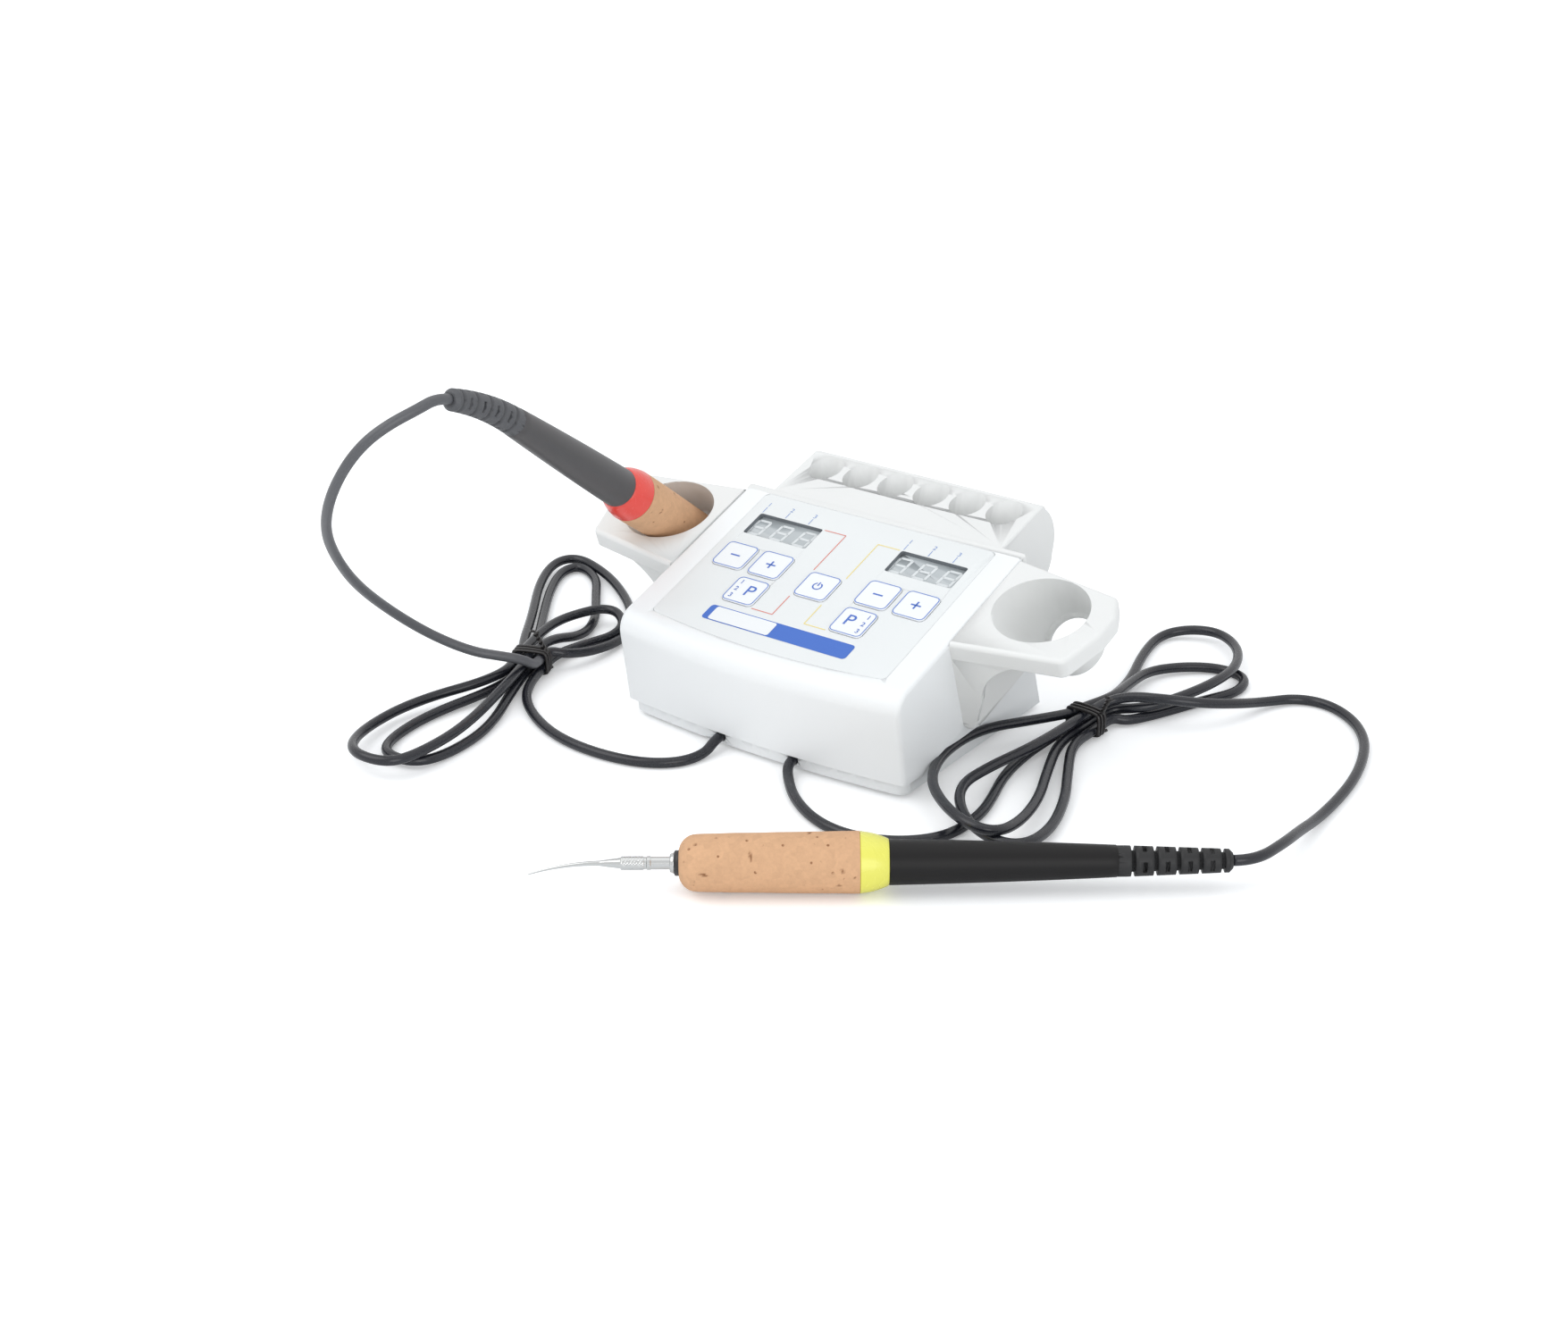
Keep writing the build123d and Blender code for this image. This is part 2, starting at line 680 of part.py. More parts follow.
def least_gap(edges, thick, step=1.0):
    """Least clear distance of a round tube to itself, measured on points along it"""
    run = 0.0
    marks = []
    for e in edges:
        count = max(1, round(e.length / step))
        marks += [(run + e.length * i / count, tuple(e.position_at(i / count))) for i in range(count)]
        run += e.length
    best = 1e9
    for i, (si, p) in enumerate(marks):
        for sj, q in marks[i + 1 :]:
            if sj - si > 4 * thick:
                best = min(best, math.dist(p, q))
    return best - thick


def wound(stations, thick, name):
    """One unbroken round tube on arcs through its stations"""
    edges = arcs_through(stations)
    length = sum(e.length for e in edges)
    section = Plane(origin=stations[0][0], z_dir=stations[0][1]) * Circle(thick / 2)
    solid = sweep(section, path=Wire(edges))
    share = solid.volume / (math.pi * thick * thick / 4 * length)
    print(name, "length", round(length, 1), "least gap to itself", round(least_gap(edges, thick), 2))
    print(name, "volume over section times length", round(share, 4))
    return solid


def waist_at(x, y, angle):
    """Waist of a hank: its centre on the bench, its run and the direction across it"""
    a = math.radians(angle)
    run = Vector(math.cos(a), math.sin(a), 0)
    return Vector(x, y, 0), run, Vector(run.Y, -run.X, 0)


def strand_end(waist, column, row, end):
    """Place of a strand in the waist, at its upper (1) or lower (-1) end"""
    centre, run, across = waist
    lift = Vector(0, 0, WAIST_Z + row * STRAND)
    return centre + across * (column * STRAND) + run * (end * WAIST_HALF) + lift


def lobe(waist, heading, reach, out, out_at, back, back_at, turn, lifts):
    """Stations of one loop: its widest point on the way out, its far end, its widest point on the way back"""
    a = math.radians(heading)
    way = Vector(math.cos(a), math.sin(a), 0)
    side = Vector(-way.Y, way.X, 0)
    swing = side if back > out else side * -1
    z = [Vector(0, 0, CORD_Z + lift * STRAND) for lift in lifts]
    return [
        (waist[0] + way * (reach * out_at) + side * out + z[0], way),
        (waist[0] + way * reach + side * turn + z[1], swing),
        (waist[0] + way * (reach * back_at) + side * back + z[2], way * -1),
    ]


def hank(waist, strands, lobes, name):
    """One cord that passes the waist once per strand, with a loop between passes"""
    stations = []
    end = 1
    for i, (column, row) in enumerate(strands):
        way = waist[1] * end
        stations.append((strand_end(waist, column, row, -end), way))
        stations.append((strand_end(waist, column, row, end), way))
        if i < len(lobes):
            stations += lobe(waist, *lobes[i])
        end = -end
    return wound(stations, CORD_D, name)


def tie(waist, columns, rows, name):
    """Thin wire wound round the waist in flattened turns, with its last end standing off"""
    centre, run, across = waist
    reach = CORD_R + TIE_D / 2 + TIE_GAP
    half = columns * STRAND / 2 + reach
    low = WAIST_Z - reach
    high = WAIST_Z + (rows - 1) * STRAND + reach
    corners = ((half, high), (-half, high), (-half, low), (half, low))
    spots = [(half, (low + high) / 2)]
    for _ in range(TIE_TURNS):
        spots += corners
    spots += [(half, high + 0.5), (half + 1.5, high + 7.0)]
    points = []
    for k, (out, z) in enumerate(spots):
        along = (k / (len(spots) - 1) - 0.5) * TIE_PITCH * TIE_TURNS
        points.append(centre + across * out + run * along + Vector(0, 0, z))
    path = FilletPolyline(*points, radius=[reach - FIT] * (len(points) - 3) + [0.8])
    section = Plane(origin=points[0], z_dir=points[1] - points[0]) * Circle(TIE_D / 2)
    solid = sweep(section, path=path)
    share = solid.volume / (math.pi * TIE_D**2 / 4 * path.length)
    print(name, "length", round(path.length, 1), "least gap to itself", round(least_gap(path.edges(), TIE_D), 2))
    print(name, "volume over section times length", round(share, 4))
    return solid


# Hanks
WAIST_HALF = 3.6
WAIST_Z = 2.85
TIE_GAP = 0.1
TIE_TURNS = 3
TIE_PITCH = 1.7
LEFT_WAIST = waist_at(-97.0, -35.0, 111.0)
RIGHT_WAIST = waist_at(72.5, 31.5, 88.0)
LEFT_STRANDS = ((1, 0), (-1, 1), (0, 1), (0, 0), (-1, 0), (1, 1))
RIGHT_STRANDS = ((-1, 0), (0, 0), (-1, 1), (1, 0), (0, 1))
LEFT_LOBES = (
    (97.3, 50.0, -3.5, 0.86, 11.1, 0.87, 3.6, (0.03, 1.01, 1.05)),
    (-87.7, 83.4, -14.2, 0.69, 15.1, 0.81, 5.6, (0.46, 1.20, 1.18)),
    (126.8, 79.8, -17.7, 0.52, -0.1, 0.62, -5.2, (0.00, 0.17, 0.00)),
    (-84.1, 73.7, 13.2, 0.74, -9.0, 0.79, 2.6, (0.00, 0.23, 0.00)),
    (121.6, 86.0, 7.7, 0.40, -25.8, 0.35, 0.2, (0.14, 0.28, 0.28)),
)
RIGHT_LOBES = (
    (96.7, 83.8, 5.2, 0.82, -23.8, 0.31, -5.5, (0.00, 0.56, 1.26)),
    (-85.7, 83.2, 9.1, 0.69, -21.7, 0.55, 8.3, (0.38, 1.95, 1.30)),
    (74.4, 64.4, 10.5, 0.90, -11.0, 0.36, 0.6, (0.27, 0.00, 0.00)),
    (-77.4, 83.1, 11.5, 0.72, -16.3, 0.80, 1.5, (0.17, 0.76, 1.30)),
)


# Handpieces
def hand_place(front, tip_way, up):
    """Frame on a handpiece: origin at the cork's front face, Z towards the cord"""
    return Plane(origin=front, x_dir=up, z_dir=tip_way * -1)


def cork_grip():
    """Cork grip with its rounded nose"""
    inner = CORE_R + FIT
    flat = Line((inner, 0), (CORK_R - CORK_ROUND, 0))
    nose = RadiusArc((CORK_R - CORK_ROUND, 0), (CORK_R, CORK_ROUND), -CORK_ROUND)
    rest = Polyline((CORK_R, CORK_ROUND), (CORK_R, CORK_L), (inner, CORK_L), (inner, 0))
    return revolve(Plane.XZ * make_face([flat, nose, rest]), Axis.Z)


def colour_ring():
    """Coloured ring that takes the cork's width down to the handle"""
    inner = CORE_R + FIT
    end = CORK_L + RING_L
    top = ThreePointArc((CORK_R, CORK_L), (CORK_R - 0.8, CORK_L + RING_L * 0.55), (RING_R, end))
    rest = Polyline((RING_R, end), (inner, end), (inner, CORK_L), (CORK_R, CORK_L))
    return revolve(Plane.XZ * make_face([top, rest]), Axis.Z)


def handle():
    """Slim tapering handle, hollow for the core tube and the cord"""
    start = CORK_L + RING_L
    end = start + HANDLE_L
    side = ThreePointArc((RING_R - 0.1, start), ((RING_R + HANDLE_R) / 2 + 0.2, start + HANDLE_L / 2), (HANDLE_R, end))
    inner = CORE_R + FIT
    rest = Polyline((HANDLE_R, end), (2.0, end), (2.0, CORE_L + 1), (inner, CORE_L + 1), (inner, start), (RING_R - 0.1, start))
    return revolve(Plane.XZ * make_face([side, rest]), Axis.Z)


def bend_boot():
    """Bend relief with ring grooves and short slots between them"""
    start = CORK_L + RING_L + HANDLE_L
    end = start + BOOT_L
    body = turned(
        (0, start),
        (BOOT_R0, start),
        (BOOT_R0, start + 2.5),
        (BOOT_R1 + 0.1, end - 1.0),
        (BOOT_R1 - 0.9, end),
        (0, end),
    )
    for i in range(GROOVES):
        z = start + 3.6 + i * GROOVE_PITCH
        floor = BOOT_R0 - 1.35 - i * 0.16
        body -= rod(0, 0, z, z + GROOVE_W, 8) - rod(0, 0, z - 1, z + GROOVE_W + 1, floor)
        if i < GROOVES - 1:
            mid = z + GROOVE_W / 2 + GROOVE_PITCH / 2
            for s in (-1, 1):
                body -= box(-1.6, 1.6, s * 4.2 - 1.6, s * 4.2 + 1.6, mid - 0.6, mid + 0.6)
                body -= box(s * 4.2 - 1.6, s * 4.2 + 1.6, -1.6, 1.6, mid - 0.6, mid + 0.6)
    return body


def core_tube():
    """Steel tube inside the cork and the handle"""
    return rod(0, 0, 0.6, CORE_L, CORE_R) - rod(0, 0, 0, CORE_L + 1, CORE_BORE)


def nose_ring():
    """Black ring at the front of the cork"""
    return turned((2.3, -NOSE_L), (NOSE_R - 0.3, -NOSE_L), (NOSE_R, -NOSE_L + 0.3), (NOSE_R, 0), (2.3, 0))


def tip_socket():
    """Plated receptacle with a flared lip that takes the tip's pin"""
    lip = -NOSE_L - 1.2
    bore = PIN_R + RUN
    return turned(
        (bore, lip),
        (2.5, lip),
        (3.0, -NOSE_L),
        (2.25, -NOSE_L),
        (2.25, 0),
        (CORE_BORE - FIT, 0.6),
        (CORE_BORE - FIT, PIN_L + 4),
        (0.5, PIN_L + 4),
        (0.5, PIN_L + 1),
        (bore, PIN_L + 1),
    )


def spatula_tip():
    """Plug-in tip: pin, shaft, knurled grip, taper and a fine curved point"""
    lip = -NOSE_L - 1.2
    shaft = lip - SHAFT_L
    knurl = shaft - KNURL_L
    taper = knurl - TAPER_L
    body = turned(
        (0, PIN_L),
        (PIN_R - 0.3, PIN_L),
        (PIN_R, PIN_L - 0.4),
        (PIN_R, lip),
        (SHAFT_R, lip),
        (SHAFT_R, shaft),
        (KNURL_R - 0.3, shaft),
        (KNURL_R, shaft - 0.3),
        (KNURL_R, knurl + 0.3),
        (KNURL_R - 0.4, knurl),
        (0.75, taper),
        (0, taper),
    )
    sections = []
    for share in (0, 0.25, 0.5, 0.75, 1.0):
        drop = -3.4 * share**2
        lean = math.degrees(math.atan(2 * 3.4 * share / POINT_L))
        radius = 0.75 - 0.5 * share
        sections.append(Pos(drop, 0, taper - POINT_L * share) * Rot(0, lean, 0) * Circle(radius))
    return body + loft(sections, ruled=True)


# Handpiece places
def red_place():
    """Red handpiece seated on the ledge of the left holder, in line with its bore"""
    seat = CORK_R - CORK_ROUND
    depth = CORK_ROUND - math.sqrt(CORK_ROUND**2 - (LIP_R - SEAT_GAP - seat) ** 2)
    way = bore_axis(-1)
    front = at_panel(-MOUTH_U, BORE_V, 0) + way * (LEDGE_L + depth)
    return hand_place(front, way, Vector(0, math.sin(math.radians(BORE_PITCH)), math.cos(math.radians(BORE_PITCH))))


def yellow_place():
    """Yellow handpiece lying on the bench on its cork"""
    yaw = math.radians(YELLOW_YAW)
    way = Vector(-math.cos(yaw), -math.sin(yaw), 0)
    return hand_place(Vector(*YELLOW_FRONT, CORK_R + 0.05), way, Vector(0, 0, 1))


PLACES = {"red": red_place(), "yellow": yellow_place()}
HAND_L = CORK_L + RING_L + HANDLE_L + BOOT_L

# Cord routes
def left_station_route():
    """Left cord from its clamp to its hank"""
    end = strand_end(LEFT_WAIST, *LEFT_STRANDS[0], -1)
    return [
        (LEFT_SLOT_X, CLAMP_Y0, SLOT_CORD_Z),
        (LEFT_SLOT_X, -44.0, SLOT_CORD_Z),
        (-13.6, -51.0, CORD_Z),
        (-17.0, -60.5, CORD_Z),
        (-27.0, -67.0, CORD_Z),
        (-42.0, -69.5, CORD_Z),
        (-58.0, -68.0, CORD_Z),
        (-72.5, -62.0, CORD_Z),
        (-84.0, -53.5, CORD_Z),
        end - LEFT_WAIST[1] * 9,
        end,
    ]


def right_station_route():
    """Right cord from its clamp to its hank"""
    end = strand_end(RIGHT_WAIST, *RIGHT_STRANDS[0], -1)
    return [
        (RIGHT_SLOT_X, CLAMP_Y0, SLOT_CORD_Z),
        (RIGHT_SLOT_X, -44.0, SLOT_CORD_Z),
        (16.5, -50.0, CORD_Z),
        (24.5, -56.5, CORD_Z),
        (36.0, -61.0, CORD_Z),
        (49.0, -63.0, CORD_Z),
        (62.0, -60.5, CORD_Z),
        (72.5, -53.5, CORD_Z),
        (76.6, -42.0, CORD_Z),
        (74.0, -28.0, CORD_Z),
        (69.2, -11.0, CORD_Z),
        (66.6, 6.0, CORD_Z),
        end - RIGHT_WAIST[1] * 10,
        end,
    ]


def left_hand_route():
    """Left cord from its hank, over it and up in an arch to the red handpiece"""
    start = strand_end(LEFT_WAIST, *LEFT_STRANDS[-1], -1)
    boot = PLACES["red"]
    end = boot.origin + boot.z_dir * HAND_L
    return [
        start,
        start - LEFT_WAIST[1] * 4,
        (-90.3, -46.0, 10.8),
        (-94.0, -52.0, 13.4),
        (-100.8, -59.0, 15.9),
        (-108.8, -69.0, 23.5),
        (-112.4, -82.5, 36.0),
        (-110.3, -97.5, 50.5),
        (-104.6, -110.0, 65.0),
        (-96.5, -120.8, 79.0),
        (-87.0, -127.3, 92.5),
        (-78.5, -128.6, 104.5),
        (-71.5, -125.0, 114.0),
        (-66.2, -117.5, 121.0),
        (-63.5, -108.5, 126.6),
        end + boot.z_dir * 5.5,
        end,
    ]


def right_hand_route():
    """Right cord from its hank round to the yellow handpiece"""
    start = strand_end(RIGHT_WAIST, *RIGHT_STRANDS[-1], 1)
    boot = PLACES["yellow"]
    end = boot.origin + boot.z_dir * HAND_L
    return [
        start,
        start + RIGHT_WAIST[1] * 6.5,
        (78.5, 49.5, 9.1),
        (88.2, 52.5, 10.7),
        (97.6, 59.5, 9.9),
        (103.8, 70.0, 6.8),
        (107.8, 81.2, 3.0),
        (116.5, 89.0, CORD_Z),
        (127.0, 90.8, CORD_Z),
        (138.5, 84.5, CORD_Z),
        (147.0, 73.5, CORD_Z),
        (152.0, 60.0, CORD_Z),
        (155.0, 46.0, CORD_Z),
        (156.2, 31.5, CORD_Z),
        (156.8, 17.5, 2.4),
        (157.6, 4.5, 5.0),
        (158.9, -8.0, 7.4),
        end + boot.z_dir * 6.5,
        end,
    ]


if __name__ == "__main__":
    save(upper_housing(), "upper_housing")
    save(lower_housing(), "lower_housing")
    save(tip_rack(), "tip_rack")
    save(keypad_foil(), "keypad_foil")
    for key_name, (key_u, key_v) in key_spots().items():
        save(key_cap(key_u, key_v), key_name)
    for side_name, sign in (("left", -1), ("right", 1)):
        save(display_module(sign), f"display_{side_name}")
    save(main_board(), "main_board")
    save(tact_switches(), "tact_switches")
    save(control_chip(), "control_chip")
    save(smoothing_capacitor(), "smoothing_capacitor")
    save(power_transistors(), "power_transistors")
    save(cord_connectors(), "cord_connectors")
    save(power_socket(), "power_socket")
    save(cord_clamp(LEFT_SLOT_X), "cord_clamp_left")
    save(cord_clamp(RIGHT_SLOT_X), "cord_clamp_right")
    save(inner_cord(LEFT_SLOT_X, -1), "wires_left")
    save(inner_cord(RIGHT_SLOT_X, 1), "wires_right")
    save(board_screws(), "board_screws")
    save(housing_screws(), "housing_screws")
    save(holder_screws(), "holder_screws")
    save(rack_screws(), "rack_screws")
    save(rubber_feet(), "rubber_feet")
    right_holder = holder_right()
    save(right_holder, "holder_right")
    save(mirror(right_holder, about=Plane.YZ), "holder_left")
    for colour, place in PLACES.items():
        save(place * cork_grip(), f"cork_grip_{colour}")
        save(place * colour_ring(), f"colour_ring_{colour}")
        save(place * handle(), f"handle_{colour}")
        save(place * bend_boot(), f"bend_boot_{colour}")
        save(place * core_tube(), f"core_tube_{colour}")
        save(place * nose_ring(), f"nose_ring_{colour}")
        save(place * tip_socket(), f"tip_socket_{colour}")
        save(place * spatula_tip(), f"tip_{colour}")
    save(tube(left_station_route(), "left station cord"), "cord_left_station")
    save(tube(right_station_route(), "right station cord"), "cord_right_station")
    save(tube(left_hand_route(), "left handpiece cord"), "cord_left_handpiece")
    save(tube(right_hand_route(), "right handpiece cord"), "cord_right_handpiece")
    save(hank(LEFT_WAIST, LEFT_STRANDS, LEFT_LOBES, "left hank"), "hank_left")
    save(hank(RIGHT_WAIST, RIGHT_STRANDS, RIGHT_LOBES, "right hank"), "hank_right")
    save(tie(LEFT_WAIST, 2, 2, "left tie"), "tie_left")
    save(tie(RIGHT_WAIST, 2, 2, "right tie"), "tie_right")
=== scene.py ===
"""Finishes, printed panel, cork grips and cords of an electric wax spatula station."""

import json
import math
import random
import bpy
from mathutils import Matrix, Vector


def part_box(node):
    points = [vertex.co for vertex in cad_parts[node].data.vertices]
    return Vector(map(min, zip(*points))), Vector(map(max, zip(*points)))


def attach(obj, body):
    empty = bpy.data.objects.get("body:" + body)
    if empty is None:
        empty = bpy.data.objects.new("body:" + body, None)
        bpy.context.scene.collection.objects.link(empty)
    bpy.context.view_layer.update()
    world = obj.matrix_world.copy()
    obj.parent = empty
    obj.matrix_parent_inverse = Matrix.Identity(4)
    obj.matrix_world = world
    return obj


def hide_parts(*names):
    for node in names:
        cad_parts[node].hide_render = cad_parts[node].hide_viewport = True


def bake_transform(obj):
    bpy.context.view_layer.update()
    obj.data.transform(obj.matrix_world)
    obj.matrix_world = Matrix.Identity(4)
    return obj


bl_info = {
    "name": "Wax Spatula Station",
    "version": (1, 0, 0),
    "blender": (4, 5, 0),
    "location": "3D View > Sidebar > Wax Spatula",
    "description": "Dresses the packed frame of an electric wax spatula station",
    "category": "Object",
}

from contextlib import contextmanager

import bpy
from mathutils import Matrix, Vector, noise

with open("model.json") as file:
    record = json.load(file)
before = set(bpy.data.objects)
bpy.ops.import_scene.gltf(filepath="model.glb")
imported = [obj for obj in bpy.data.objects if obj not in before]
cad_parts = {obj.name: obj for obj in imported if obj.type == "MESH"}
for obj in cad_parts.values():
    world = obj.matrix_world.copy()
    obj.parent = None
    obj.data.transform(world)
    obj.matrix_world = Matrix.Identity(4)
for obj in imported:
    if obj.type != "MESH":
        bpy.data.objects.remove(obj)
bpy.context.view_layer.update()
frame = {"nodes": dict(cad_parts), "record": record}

MM = 0.001

# The tilted panel and the two handpieces, placed as in the frame
PANEL_TILT = math.radians(17.43)
PANEL_PLACE = Matrix.Translation((0, -7.0 * MM, 47.2 * MM)) @ Matrix.Rotation(PANEL_TILT, 4, "X")
BORE_PITCH = math.radians(36.5)
BORE_SPLAY = math.radians(4.0)
YELLOW_YAW = math.radians(35.9)

# Handpiece sizes: the cork tapers from its own radius to the front one
CORK_R = 8.65 * MM
CORK_L = 49.9 * MM
FRONT_R = 7.95 * MM
BORE_R = 3.05 * MM
RING_L = 8.1 * MM
RING_END_R = 6.5 * MM
GRIP_L = 62.9 * MM

# Keys with their places on the panel and their height over it, in millimetres
KEY_PLACES = {
    "key_left_minus": (-33.93, 0.0),
    "key_left_plus": (-20.13, 0.0),
    "key_left_program": (-20.13, -13.8),
    "key_power": (0.0, -3.48),
    "key_right_minus": (20.13, 0.0),
    "key_right_plus": (33.93, 0.0),
    "key_right_program": (20.13, -13.8),
}
KEY_TOP = 0.5
KEY_SIDE_TURN = 0.6
OUTLINE = 11.4 * MM
OUTLINE_CORNER = 1.7 * MM
STROKE = 1.75 * MM
STROKE_W = 0.62 * MM

# Height of a print over what it is printed on, in millimetres
PRINT = 0.05


# Settings that a user would change
class StationSettings(bpy.types.PropertyGroup):
    """Sizes and colours of the station"""

    housing: bpy.props.FloatVectorProperty(
        name="Housing", description="White of the two shells",
        subtype="COLOR", size=3, default=(0.81, 0.825, 0.83)
    )
    moulding: bpy.props.FloatVectorProperty(
        name="Rack and holders", description="Light grey of the rack and holders", subtype="COLOR", size=3,
        default=(0.735, 0.74, 0.73),
    )
    foil: bpy.props.FloatVectorProperty(
        name="Foil", description="Ground of the printed foil",
        subtype="COLOR", size=3, default=(0.73, 0.75, 0.75)
    )
    print_blue: bpy.props.FloatVectorProperty(
        name="Print blue", description="Blue of the legends and the strip", subtype="COLOR", size=3,
        default=(0.06, 0.15, 0.52),
    )
    line_width: bpy.props.FloatProperty(
        name="Line width", description="Width of the printed lines", subtype="DISTANCE", unit="LENGTH",
        default=0.36 * MM,
    )
    digit_height: bpy.props.FloatProperty(
        name="Digit height", description="Height of a display digit", subtype="DISTANCE", unit="LENGTH",
        default=7.6 * MM,
    )


class HandpieceSettings(bpy.types.PropertyGroup):
    """Sizes and colours of the handpieces"""

    cork: bpy.props.FloatVectorProperty(
        name="Cork", description="Ground of the cork grips",
        subtype="COLOR", size=3, default=(0.645, 0.387, 0.225)
    )
    ring_red: bpy.props.FloatVectorProperty(
        name="Red ring", description="Ring of the left handpiece",
        subtype="COLOR", size=3, default=(0.74, 0.06, 0.045)
    )
    ring_yellow: bpy.props.FloatVectorProperty(
        name="Yellow ring", description="Ring of the right handpiece", subtype="COLOR", size=3,
        default=(0.74, 0.72, 0.11),
    )
    handle: bpy.props.FloatVectorProperty(
        name="Handle", description="Satin black of the handles",
        subtype="COLOR", size=3, default=(0.010, 0.0095, 0.0098)
    )
    pits: bpy.props.IntProperty(
        name="Pits", description="Open pits in the face of each cork", default=20, min=0, max=200
    )
    pit_depth: bpy.props.FloatProperty(
        name="Pit depth", description="Depth of the deepest pits",
        subtype="DISTANCE", unit="LENGTH", default=0.35 * MM
    )


class CordSettings(bpy.types.PropertyGroup):
    """Sizes of the cords and their ties"""

    diameter: bpy.props.FloatProperty(
        name="Cord diameter", description="Outside diameter of both cords", subtype="DISTANCE", unit="LENGTH",
        default=3.2 * MM,
    )
    tie_diameter: bpy.props.FloatProperty(
        name="Tie diameter", description="Diameter of the tie wire", subtype="DISTANCE", unit="LENGTH",
        default=1.0 * MM,
    )
    sides: bpy.props.IntProperty(name="Sides", description="Faces round a cord", default=14, min=8, max=32)


class StageSettings(bpy.types.PropertyGroup):
    """Camera, floor and light"""

    lens: bpy.props.FloatProperty(
        name="Lens", description="Focal length on a 36 mm sensor", subtype="DISTANCE_CAMERA", default=57.73
    )
    key_power: bpy.props.FloatProperty(
        name="Key light", description="Power of the large soft lamp",
        subtype="POWER", unit="POWER", default=4.2
    )
    sky: bpy.props.FloatProperty(name="Sky", description="Strength of the even light all round", default=0.86)


# Shader nodes and the groups shared by the finishes
def set_inputs(tree, node, inputs):
    """Set a node's inputs by label or number, and link those whose value is a socket"""
    for label, value in inputs.items():
        if isinstance(value, bpy.types.NodeSocket):
            tree.links.new(value, node.inputs[label])
        else:
            node.inputs[label].default_value = value


def add_node(tree, kind, inputs=None, **settings):
    """Add a shader node with its settings and inputs"""
    made = tree.nodes.new(f"ShaderNode{kind}")
    for key, value in settings.items():
        setattr(made, key, value)
    set_inputs(tree, made, inputs or {})
    return made


def new_group(name, inputs, outputs):
    """Empty node group with its inputs and float outputs"""
    group = bpy.data.node_groups.new(name, "ShaderNodeTree")
    for label, kind, value in inputs:
        made = group.interface.new_socket(label, in_out="INPUT", socket_type=kind)
        if value is not None:
            made.default_value = value
    for label in outputs:
        group.interface.new_socket(label, in_out="OUTPUT", socket_type="NodeSocketFloat")
    return group, group.nodes.new("NodeGroupInput").outputs, group.nodes.new("NodeGroupOutput").inputs


def grain_group():
    """Moulded grain: a fine spark texture and a broad cloud, as a height and a mask"""
    group, given, out = new_group(
        "Moulded grain",
        [
            ("Vector", "NodeSocketVector", None),
            ("Fine scale", "NodeSocketFloat", 2200.0),
            ("Broad scale", "NodeSocketFloat", 45.0),
        ],
        ["Height", "Mask"],
    )
    for label, scale, detail in (("Height", "Fine scale", 3.0), ("Mask", "Broad scale", 4.0)):
        inputs = {"Vector": given["Vector"], "Scale": given[scale], "Detail": detail}
        group.links.new(add_node(group, "TexNoise", inputs).outputs[0], out[label])
    return group


def scratch_group():
    """Fine scratches and rubbed spots, as a mask"""
    group, given, out = new_group(
        "Handling marks",
        [("Vector", "NodeSocketVector", None), ("Scale", "NodeSocketFloat", 160.0)],
        ["Mask"],
    )
    inputs = {"Vector": given["Vector"], "Scale": (1.0, 9.0, 3.0), "Rotation": (0.4, 0.7, 0.9)}
    stretch = add_node(group, "Mapping", inputs).outputs["Vector"]
    inputs = {"Vector": stretch, "Scale": given["Scale"], "Detail": 6.0, "Roughness": 0.7}
    marks = add_node(group, "TexNoise", inputs).outputs[0]
    group.links.new(ramp_node(group, marks, 0.58, 0.70), out["Mask"])
    return group


GROUPS = {}


def group_node(tree, name, inputs):
    """Node of a shared group, which is made the first time"""
    if name not in GROUPS:
        GROUPS[name] = {"grain": grain_group, "marks": scratch_group}[name]()
    return add_node(tree, "Group", inputs, node_tree=GROUPS[name]).outputs


def ramp_node(tree, value, low, high, falling=False):
    """Black to white between two levels of a mask, or white to black"""
    made = add_node(tree, "ValToRGB", {"Fac": value})
    first, last = made.color_ramp.elements
    first.position = low
    last.position = high
    if falling:
        first.color = (1, 1, 1, 1)
        last.color = (0, 0, 0, 1)
    return made.outputs["Color"]


def blend_node(tree, factor, first, second):
    """Mix of two colours, each a value or a socket"""
    return add_node(tree, "Mix", {0: factor, 6: first, 7: second}, data_type="RGBA").outputs[2]


def spread_node(tree, value, low, high):
    """Map a mask from 0..1 to a range"""
    return add_node(tree, "MapRange", {"Value": value, "To Min": low, "To Max": high}).outputs["Result"]


def math_node(tree, operation, *values):
    """Result of a calculation on values or sockets"""
    return add_node(tree, "Math", dict(enumerate(values)), operation=operation).outputs[0]


def bump_node(tree, height, strength, depth):
    """Normal from a height, with the depth in millimetres"""
    inputs = {"Height": height, "Strength": strength, "Distance": depth * MM}
    return add_node(tree, "Bump", inputs).outputs["Normal"]


def tone(colour, share):
    """Colour made lighter or darker by a share, with full alpha"""
    return (*[min(1.0, max(0.0, c * share)) for c in colour[:3]], 1.0)


def new_finish(name):
    """Material with its tree, its shader and its Object coordinates"""
    made = bpy.data.materials.new(name)
    made.use_nodes = True
    tree = made.node_tree
    return made, tree, tree.nodes["Principled BSDF"], add_node(tree, "TexCoord").outputs["Object"]


